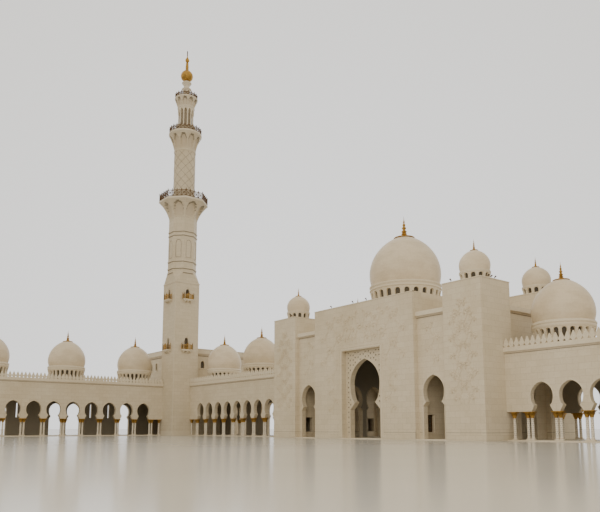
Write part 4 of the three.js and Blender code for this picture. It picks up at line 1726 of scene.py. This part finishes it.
@dataclass
class CornerBlock:
    """The tall plain block behind the minaret, with a notch where the minaret stands."""

    builder: Builder
    cornice: float = 21.1
    top: float = 23.1
    window: tuple[float, float] = (17.9, 19.85)

    def build(self) -> None:
        """Makes its walls with windows, and its roof with a cornice."""
        x0, x1, y0, y1 = BLOCK
        nx, ny = MINARET[0] - MINARET_HALF - GAP, MINARET[1] + MINARET_HALF + GAP
        shape = Shape()
        for near, far, face, spin, windows in (
            (x0, nx, y0, 0, (-91.3, -88.2)), (ny + WALL, y1 - WALL, -x1, 90, (0.0, 3.1)),
            (-x1, -x0, -y1, 180, (88.2, 91.3)), (WALL - y1, -y0 - WALL, x0, 270, (0.0, -3.1)),
        ):
            shape.add(self._wall(near, far, face, windows), turn(spin))
        shape.add(box((nx - WALL, y0 + WALL, 0), (nx, ny + WALL, self.cornice)))
        shape.add(box((nx, ny, 0), (x1, ny + WALL, self.cornice)))
        inside = [
            (x0 + WALL, y0 + WALL), (nx - WALL, y0 + WALL), (nx - WALL, ny + WALL),
            (x1 - WALL, ny + WALL), (x1 - WALL, y1 - WALL), (x0 + WALL, y1 - WALL),
        ]
        shape.add(level(inside, 0, FLOOR, Look.MARBLE))
        self.builder.piece("corner_walls_stone", shape, "corner_walls", "marble")
        roof = Shape()
        left, right, front, back = x0 + 0.6, x1 - 0.6, y0 + 3.6, y1 - 0.6
        sunk = [(left, back), (right, back), (right, front), (left, front)]
        # The cornice's lowest layers are darker: a painted shadow line and painted shade in its
        # cove.
        for z0, z1, out, look, holes in (
            (self.cornice, 21.3, 0.06, Look.LINE, []), (21.3, 21.5, 0.16, Look.CARVED, []),
            (21.5, 21.75, 0.28, Look.CARVED, []), (21.75, 22.15, 0.45, Look.TRIM, [sunk]),
            (22.15, 22.95, 0.36, Look.TRIM, [sunk]), (22.95, self.top, 0.44, Look.TRIM, [sunk]),
        ):
            points = [
                (x0 - out, y0 - out), (nx, y0 - out), (nx, ny), (x1 + out, ny),
                (x1 + out, y1 + out), (x0 - out, y1 + out),
            ]
            roof.add(level(points, z0, z1, look, holes))
        self.builder.piece("corner_roof_stone", roof, "corner_roof", "marble")

    def _wall(self, near: float, far: float, face: float, windows: Sequence[float]) -> Shape:
        """One outer wall, drawn as the front one.

        Args:
            near: Its left end.
            far: Its right end.
            face: Y of its outer face.
            windows: Middles of its windows.

        Returns:
            The wall with its glass, bars, sills and mouldings.
        """
        sill, head = self.window
        heads = [window_head(1.1, sill, head, x) for x in windows]
        outline = [(near, 0.0), (far, 0.0), (far, self.cornice), (near, self.cornice)]
        wall = upright(outline, face, face + WALL, holes=heads)
        for x, glass in zip(windows, heads):
            wall.add(upright(glass, face + 0.4, face + 0.46, Look.GLASS))
            bar = ((x - 0.04, face + 0.34, sill), (x + 0.04, face + 0.42, head - 0.05))
            wall.add(box(*bar, Look.BRONZE))
            wall.add(rim(window_head(1.3, sill - 0.1, head + 0.15, x), face, 0.16, 0.08, Look.TRIM))
            ledge = ((x - 0.85, face - 0.16, sill - 0.3), (x + 0.85, face + 0.1, sill - 0.1))
            wall.add(box(*ledge, Look.TRIM))
        return wall.add(rim([(near, 1.17), (far, 1.17)], face, 0.1, 0.05, Look.TRIM))


@dataclass
class Minaret:
    """The minaret, drawn round its own axis: square, eight sided, round and open stages."""

    builder: Builder
    half: float = MINARET_HALF
    square_top: float = 39.4
    taper_top: float = 42.4
    eight_top: float = 56.7
    drum_base: float = 61.7
    lantern_base: float = 81.1

    def build(self) -> None:
        """Makes its pieces from the ground up."""
        place = shift(*MINARET)
        for name, shape in (
            ("shaft", self._square()), ("octagon", self._octagon()), ("drum", self._drum()),
            ("lantern", self._lantern()),
        ):
            self.builder.piece(f"minaret_{name}_stone", shape.moved(place), f"minaret_{name}")
        self.builder.piece(
            "minaret_finial_gold", self._finial().moved(place), "minaret_finial", "gold"
        )

    @staticmethod
    def _finial() -> Shape:
        """The gold ball with its stem, and a ring on top that stands edge on to the court.

        Returns:
            The finial, on the vertical axis.
        """
        gold = turned(
            [
                (0.0, 96.6), (0.7, 96.6), (0.8, 96.72), (0.75, 96.85), (1.1, 97.05), (1.42, 97.35),
                (1.62, 97.75), (1.68, 98.2), (1.6, 98.7), (1.34, 99.2), (0.95, 99.6), (0.6, 99.9),
                (0.44, 100.15), (0.41, 100.9), (0.46, 101.1), (0.4, 101.3), (0.36, 102.1),
                (0.22, 102.3), (0.46, 102.6), (0.55, 102.95), (0.5, 103.25), (0.3, 103.6),
                (0.16, 103.85), (0.12, 104.3), (0.0, 104.4),
            ],
            32, Look.GOLD,
        )
        ring = ends(circle(0.13, 8, centre=(0.57, 0.0)))
        edge_on = shift(0, 0, 105.0) @ turn(-27.4) @ tilt(90)
        return gold.add(turned(ring, 24, Look.BRONZE), edge_on)

    @staticmethod
    def _eight(profile: Sequence[Point2], look: Look = Look.MARBLE) -> Shape:
        """An eight sided form with flats towards the axes; radii are to the flats."""
        points = [(r / math.cos(math.pi / 8), z) for r, z in profile]
        return turned(points, 8, look, False).moved(turn(22.5))

    def _balcony(self, z: float) -> Shape:
        """Balcony on the face towards -Y: brackets, a floor and a gold rail with a raised middle.

        Args:
            z: Height of the floor's underside.

        Returns:
            The balcony.
        """
        face = -self.half
        front = face - 0.82
        shape = box((-1.45, face - 0.9, z + 0.12), (1.45, face + 0.05, z + 0.42), Look.TRIM, 0.04)
        under = ((-1.36, face - 0.8, z - 0.05), (1.36, face + 0.05, z + 0.12))
        shape.add(box(*under, Look.TRIM, 0.03))
        curve = [
            (0, z - 0.6), (0, z - 0.02), (-0.78, z - 0.02), (-0.74, z - 0.2), (-0.4, z - 0.3),
            (-0.2, z - 0.52),
        ]
        for x in (-0.95, 0.0, 0.95):
            shape.add(upright(curve, -0.16, 0.16, Look.TRIM), shift(x, face + 0.02) @ turn(90))
        low, rail, high = z + 0.42, z + 1.55, z + 2.2
        tip = [(0.05, high - 0.42), (0.1, high - 0.34), (0.08, high - 0.22), (0.03, high - 0.14)]
        tip = turned([*tip, (0.0, high)], 6, Look.GOLD)
        for x0, y0, x1, y1, count in (
            (-1.38, front, 1.38, front, 12), (-1.38, front, -1.38, face, 4),
            (1.38, front, 1.38, face, 4),
        ):
            for bar_z, t in (
                (low + 0.08, 0.04), (low + 0.5, 0.025), (rail - 0.25, 0.025), (rail, 0.045)
            ):
                ends_at = ((x0 - t, y0 - t, bar_z - t), (x1 + t, y1 + t, bar_z + t))
                shape.add(box(*ends_at, Look.GOLD))
            for i in range(count + 1):
                s = i / count
                x, y = x0 + (x1 - x0) * s, y0 + (y1 - y0) * s
                post = i in (0, count) or (x1 > x0 and 2 * i == count)
                crown = max(0.0, 0.42 * (1 - abs(s - 0.5) / 0.26)) if x1 > x0 else 0.0
                t, top = (0.05, high - 0.4) if post else (0.024, rail + crown)
                shape.add(box((x - t, y - t, low), (x + t, y + t, top), Look.GOLD))
                if post:
                    shape.add(tip, shift(x, y))
        for m in (-1, 1):
            rise = [(m * 0.72, rail), (m * 0.36, rail + 0.2), (0.0, rail + 0.42)]
            shape.add(rim(rise, face - 0.85, 0.07, 0.05, Look.GOLD))
        return shape

    def _square(self) -> Shape:
        """The square shaft with its windows and balconies.

        Returns:
            The shaft, on the vertical axis.
        """
        half, top = self.half, self.square_top
        levels = ((34.5, 37.6, (0, 90, 180, 270)), (21.4, 24.9, (0, 90, 180)))
        balconies = [self._balcony(z) for z, _, _ in levels]
        shape = Shape()
        for spin in (0, 90, 180, 270):
            here = [
                (z + 0.5, head, balcony)
                for (z, head, turns), balcony in zip(levels, balconies) if spin in turns
            ]
            holes = [window_head(1.1, sill, head) for sill, head, _ in here]
            outline = [(-half, 0), (half - 0.9, 0), (half - 0.9, top), (-half, top)]
            wall = upright(outline, -half, 0.9 - half, holes=holes)
            for (sill, head, balcony), hole in zip(here, holes):
                wall.add(balcony)
                wall.add(upright(hole, 0.35 - half, 0.41 - half, Look.GLASS))
                for width, rise, strip, out in ((1.3, 0.1, 0.2, 0.1), (1.9, 0.55, 0.1, 0.06)):
                    loop = window_head(width, sill, head + rise)[1:]
                    wall.add(rim(loop, -half, strip, out, Look.TRIM))
                for x in (-0.2, 0.2):
                    bar = ((x - 0.025, 0.3 - half, sill), (x + 0.025, 0.36 - half, head - 0.3))
                    wall.add(box(*bar, Look.BRONZE))
            for z0, z1, out in ((0, 1.17, 0.05), (39.1, 39.25, 0.07), (39.25, top, 0.12)):
                band = ((-half - out, -half - out, z0), (half - 0.1, 0.1 - half, z1))
                wall.add(box(*band, Look.TRIM))
            for x in (0.06 - half, half - 0.06):
                wall.add(rim([(x, 1.3), (x, 39.0)], -half, 0.1, 0.04, Look.TRIM))
            shape.add(wall, turn(spin))
        return shape

    @staticmethod
    def _across(point: Vector, sectors: int) -> float:
        """How far a point lies from the middle of its sector, from 0 to 0.5."""
        return abs((math.atan2(point.y, point.x) / math.tau * sectors + 0.5) % 1 - 0.5)

    def _flared(self, rows: Sequence[Point2], sectors: int, steps: int, depth: float) -> Shape:
        """A flaring corbel with a tall pointed niche in every sector, the niches painted darker as
        shade.

        Args:
            rows: Radius and height of its profile, from its foot up.
            sectors: How many niches. With eight, the corbel itself is eight sided.
            steps: Steps round each sector.
            depth: How deep the niches are at their top.

        Returns:
            The corbel, with its niches pressed into it.
        """
        shape = turned(rows, sectors * steps, Look.MARBLE, False)
        z0, z1 = rows[0][1], rows[-1][1]
        sunk = []
        for v in shape.verts:
            t = (v.z - z0) / (z1 - z0)
            narrow = max(0.0, (t - 0.5) / 0.42) ** 1.7
            width = 0.38 * math.sqrt(max(0.0, 1 - narrow)) if t < 0.92 else 0.0
            inside = 0.12 < t and self._across(v, sectors) < width and v.xy.length > 0.1
            sunk.append(inside)
            reach = v.xy.length
            if sectors == 8:
                bend = self._across(v, 8) * math.pi / 4
                reach /= math.cos(bend)
            if inside:
                reach -= depth * (0.25 + 0.75 * t)
            if v.xy.length > 0.1:
                v.xy = v.xy.normalized() * reach
        for i, loop in enumerate(shape.faces):
            middle = sum((shape.verts[k] for k in loop), Vector())
            near = [k for k in loop if middle.x * shape.verts[k].y < middle.y * shape.verts[k].x]
            near.sort(key=lambda k: shape.verts[k].z)
            # Niche faces take the darker stone, and the faces that step up out of a niche take the
            # dark stone: painted shade in the niches.
            if all(sunk[k] for k in loop):
                shape.looks[i] = Look.CARVED
            elif near and sunk[near[0]] and not sunk[near[-1]]:
                shape.looks[i] = Look.INNER
        return shape.crisp()

    @staticmethod
    def _railing(corners: Sequence[Point2], z0: float, z1: float, parts: int) -> Shape:
        """Openwork rail round the corners of a regular form.

        Args:
            corners: The corners, in order.
            z0: Height of its foot.
            z1: Height of its tips.
            parts: How many bays from corner to corner.

        Returns:
            Posts with pointed tips, rails and crossed bars.
        """
        span = math.dist(corners[0], corners[1])
        low, high, w = z0 + 0.12, z1 - 0.55, span / parts
        run = Shape()
        for z, t in ((low, 0.05), (z0 + (z1 - z0) * 0.42, 0.025), (high, 0.05)):
            run.add(box((0, -t, z - t), (span, t, z + t), Look.BRONZE))
        top = z1 - 0.45
        tip = [(0.07, top), (0.12, z1 - 0.36), (0.1, z1 - 0.22), (0.04, z1 - 0.1), (0.0, z1)]
        bay = box((-0.07, -0.07, z0), (0.07, 0.07, top), Look.BRONZE)
        bay.add(turned(tip, 8, Look.BRONZE))
        for cross in ([(0.0, low), (w, high)], [(w, low), (0.0, high)]):
            bay.add(rim(cross, -0.03, 0.09, 0.05, Look.BRONZE))
        for x in (0.25 * w, 0.5 * w, 0.75 * w):
            bay.add(box((x - 0.035, -0.03, low), (x + 0.035, 0.03, high), Look.BRONZE))
        for i in range(parts):
            run.add(bay, shift(w * i, 0))
        shape = Shape()
        for (x0, y0), (x1, y1) in zip(corners, [*corners[1:], corners[0]]):
            shape.add(run, shift(x0, y0) @ turn(math.degrees(math.atan2(y1 - y0, x1 - x0))))
        return shape

    def _octagon(self) -> Shape:
        """The eight sided stage on its taper, up to the lower gallery.

        Returns:
            The stage, on the vertical axis.
        """
        half, top = self.half, self.eight_top
        k = math.tan(math.pi / 8) * half
        square = [(x, y, self.square_top) for x in (-half, half) for y in (-half, half)]
        flats = [(u, v) for u in (-half, half) for v in (-k, k)]
        eight = [(x, y, self.taper_top) for u, v in flats for x, y in ((u, v), (v, u))]
        shape = hull([*square, *eight], Look.MARBLE)
        shape.add(self._eight([(half, self.taper_top), (half, top)]))
        for z, out in ((41.95, 0.14), (43.05, 0.16), (44.95, 0.16), (51.95, 0.16), (53.0, 0.16)):
            root, r = half - 0.05, half + out
            band = [(root, z), (r, z + 0.04), (r, z + 0.21), (root, z + 0.25)]
            shape.add(self._eight(band, Look.TRIM))
            # A dark ring just under each band: painted shadow.
            shade = [(half, z - 0.2), (half + 0.05, z - 0.2), (half + 0.05, z)]
            shape.add(self._eight(shade, Look.LINE))
        panel = Shape()
        # The panel's inner line is dark: a painted shadow line in the recess.
        for grow, height, look in ((0.0, 0.09, Look.TRIM), (-0.13, 0.03, Look.LINE)):
            head = window_head(1.7 + grow * 2, 46.0 - grow, 50.9 + grow)
            panel.add(rim(ends(head), -half, 0.13, height, look))
        for i in range(8):
            shape.add(panel, turn(45 * i))
        rows = []
        for i in range(21):
            t = i / 20
            rows.append((half + (5.75 - half) * (0.45 * t + 0.55 * t ** 2.2), top + 4.3 * t))
        shape.add(self._flared(rows, 8, 24, 0.9))
        gallery = [(5.75, 61.0), (5.85, 61.1), (6.0, 61.2), (6.0, 61.55), (5.9, self.drum_base)]
        shape.add(self._eight(gallery, Look.TRIM))
        ring = circle(5.84 / math.cos(math.pi / 8), 8, 0.5)
        return shape.add(self._railing(ring, self.drum_base, 63.9, 4))

    def _drum(self) -> Shape:
        """The round stage with its net of diamonds, up to the upper gallery.

        Returns:
            The stage, on the vertical axis.
        """
        profile = [
            (3.1, self.drum_base), (3.15, 62.1), (2.95, 62.2), (2.9, 62.6), (2.82, 62.7),
            (2.82, 75.6), (2.92, 75.7), (2.92, 76.1), (2.85, 76.2),
        ]
        shape = turned(profile, 64, Look.MARBLE)
        for way in (1, -1):
            out, path = [], []
            for t in (j / 36 for j in range(37)):
                angle = math.tau * way * t * 0.66
                out.append(Vector((math.cos(angle), math.sin(angle), 0)))
                path.append(out[-1] * 2.82 + Vector((0, 0, 62.8 + 12.7 * t)))
            # The net's lines are raised dark ribbons, with the shade of incised grooves painted in.
            line = ribbon(path, out, 0.1, 0.03, Look.LINE)
            for i in range(8):
                shape.add(line, turn(45 * i))
        rows = []
        for t in (i / 16 for i in range(17)):
            rows.append((2.85 + 1.35 * (0.5 * t + 0.5 * t ** 2), 76.2 + 4.1 * t))
        shape.add(self._flared(rows, 10, 20, 0.6))
        gallery = [(4.2, 80.3), (4.25, 80.45), (4.4, 80.55), (4.4, 80.95), (4.3, self.lantern_base)]
        shape.add(turned(gallery, 64, Look.TRIM))
        return shape.add(self._railing(circle(4.24, 24), self.lantern_base, 82.8, 1))

    def _lantern(self) -> Shape:
        """The open stage of columns, its crown and the stem under the finial.

        Returns:
            The stage, on the vertical axis.
        """
        base = [(2.5, self.lantern_base), (2.5, 82.7), (2.6, 82.8), (2.6, 83.0), (2.45, 83.2)]
        shape = turned(base, 48, Look.MARBLE)
        profile = [
            (0.26, 83.2), (0.26, 83.4), (0.2, 83.5), (0.18, 83.8), (0.17, 86.6), (0.24, 86.8),
            (0.27, 87.0),
        ]
        column = turned(profile, 10, Look.TRIM)
        for place in circle(1.92, 12, 0.5):
            shape.add(column, shift(*place))
        # A dark cylinder inside the ring of columns: painted shade of the open stage.
        shape.add(turned([(1.62, 83.2), (1.62, 88.4)], 36, Look.LINE))
        shape.add(self._arches(2.2, 1.6, 86.9, 88.5, 12))
        collar = [(1.6, 88.4), (2.2, 88.4), (2.32, 88.5), (2.32, 88.65), (2.25, 88.75)]
        shape.add(turned(collar, 48, Look.TRIM))
        rows = [(2.25 + 0.8 * (i / 12) ** 1.1, 88.75 + 2.35 * i / 12) for i in range(13)]
        shape.add(self._flared(rows, 10, 20, 0.6))
        gallery = [(3.05, 91.1), (3.1, 91.15), (3.1, 91.4), (3.0, 91.5)]
        shape.add(turned(gallery, 48, Look.TRIM))
        shape.add(self._railing(circle(2.97, 20), 91.5, 92.8, 1))
        stem = [
            (1.2, 91.5), (1.2, 91.8), (0.85, 92.1), (0.76, 92.4), (0.8, 93.3), (1.1, 94.0),
            (1.3, 94.25), (1.25, 94.4), (0.85, 94.6), (0.74, 94.9), (0.78, 95.3), (1.15, 95.85),
            (1.32, 96.1), (1.26, 96.25), (0.85, 96.42), (0.8, 96.6),
        ]
        return shape.add(turned(stem, 24, Look.TRIM))

    def _arches(self, outer: float, inner: float, z0: float, z1: float, count: int) -> Shape:
        """Round wall whose foot is cut into pointed arches between the columns.

        Args:
            outer: Its outer radius.
            inner: Its inner radius.
            z0: Height of its foot at the columns.
            z1: Height of its top.
            count: How many arches.

        Returns:
            The wall.
        """
        section = [(inner, z0), (outer, z0), (outer, z1), (inner, z1)]
        shape = turned(ends(section), count * 12, Look.TRIM, False)
        for v in shape.verts:
            across = self._across(v, count) * 2
            if v.z < (z0 + z1) / 2 and across < 0.8:
                v.z += (1 - across ** 1.5) * 1.25
        return shape.crisp()


@dataclass
class Studio:
    """Pale floor, soft light and the camera at the photograph's place."""

    builder: Builder
    eye: Point3 = (78.65, -85.85, 1.74)
    ahead: Point2 = (-0.788, 0.616)
    sensor: float = 36.0
    lens: float = 38.6
    framing: float = 0.2878
    lens_shift: float = 0.14
    lamp_at: Point3 = (7.5, -10.5, 6.0)
    lamp_aim: Point3 = (0.0, -1.1, 1.0)

    def build(self) -> None:
        """Makes floor, sky, lamp and camera."""
        self._floor()
        self._sky()
        self._lamp()
        self._camera()

    def _floor(self) -> None:
        """A plain pale floor that belongs to the studio."""
        bm = bmesh.new()
        bmesh.ops.create_grid(bm, x_segments=2, y_segments=2, size=300)
        mesh = bpy.data.meshes.new("court_floor")
        bm.to_mesh(mesh)
        bm.free()
        mesh.materials.append(self.builder.material(Look.COURT))
        floor = bpy.data.objects.new("court_floor", mesh)
        bpy.context.scene.collection.objects.link(floor)

    def _sky(self) -> None:
        """Soft light from all round, brighter ahead of the camera than behind it."""
        world = bpy.data.worlds.new("soft_sky")
        sheet = Sheet(world)
        way = sheet.node("ShaderNodeTexCoord").outputs["Generated"]
        inputs = {0: way, 1: (*self.ahead, 0.0)}
        facing = sheet.node("ShaderNodeVectorMath", inputs, operation="DOT_PRODUCT")
        inputs = {"Value": facing.outputs["Value"], "From Min": -1.0}
        place = sheet.node("ShaderNodeMapRange", inputs).outputs["Result"]
        stops = [(0.0, (0.66, 0.60, 0.49)), (0.7, (0.70, 0.645, 0.54)), (1.0, (1.0, 1.0, 1.0))]
        background = sheet.tree.nodes["Background"]
        sheet.tree.links.new(sheet.ramp(place, stops), background.inputs["Color"])
        background.inputs["Strength"].default_value = 1.4
        bpy.context.scene.world = world

    def _lamp(self) -> None:
        """A large warm lamp to the right of the camera, with no glare of its own."""
        light = bpy.data.lights.new("key", "AREA")
        light.shape = "DISK"
        light.size = 8.0
        light.energy = 420
        light.color = (1.0, 0.92, 0.78)
        lamp = bpy.data.objects.new("key", light)
        lamp.location = self.lamp_at
        lamp.visible_glossy = False
        aim = Vector(self.lamp_aim) - Vector(self.lamp_at)
        lamp.rotation_mode = "QUATERNION"
        lamp.rotation_quaternion = aim.to_track_quat("-Z", "Y")
        bpy.context.scene.collection.objects.link(lamp)

    def _camera(self) -> None:
        """The camera. A part of the photograph's upward framing is shift, and the rest is tilt."""
        data = bpy.data.cameras.new("camera")
        data.sensor_width = self.sensor
        data.lens = self.lens
        data.clip_start, data.clip_end = 0.1, 1000.0
        data.shift_y = self.lens_shift
        camera = bpy.data.objects.new("camera", data)
        camera.location = Vector(self.eye) * SCALE
        climb = (self.framing - self.lens_shift) * self.sensor / self.lens
        camera.rotation_mode = "QUATERNION"
        camera.rotation_quaternion = Vector((*self.ahead, climb)).to_track_quat("-Z", "Y")
        bpy.context.scene.collection.objects.link(camera)
        bpy.context.scene.camera = camera


def main() -> None:
    """Loads the frame and makes every piece."""
    logging.basicConfig(level=logging.INFO)
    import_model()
    builder = Builder()
    for assembly in (Portal, Wings, CornerBlock, Minaret, Studio):
        assembly(builder).build()
        LOG.info("%s is made", assembly.__name__)


if __name__ == "__main__":
    main()
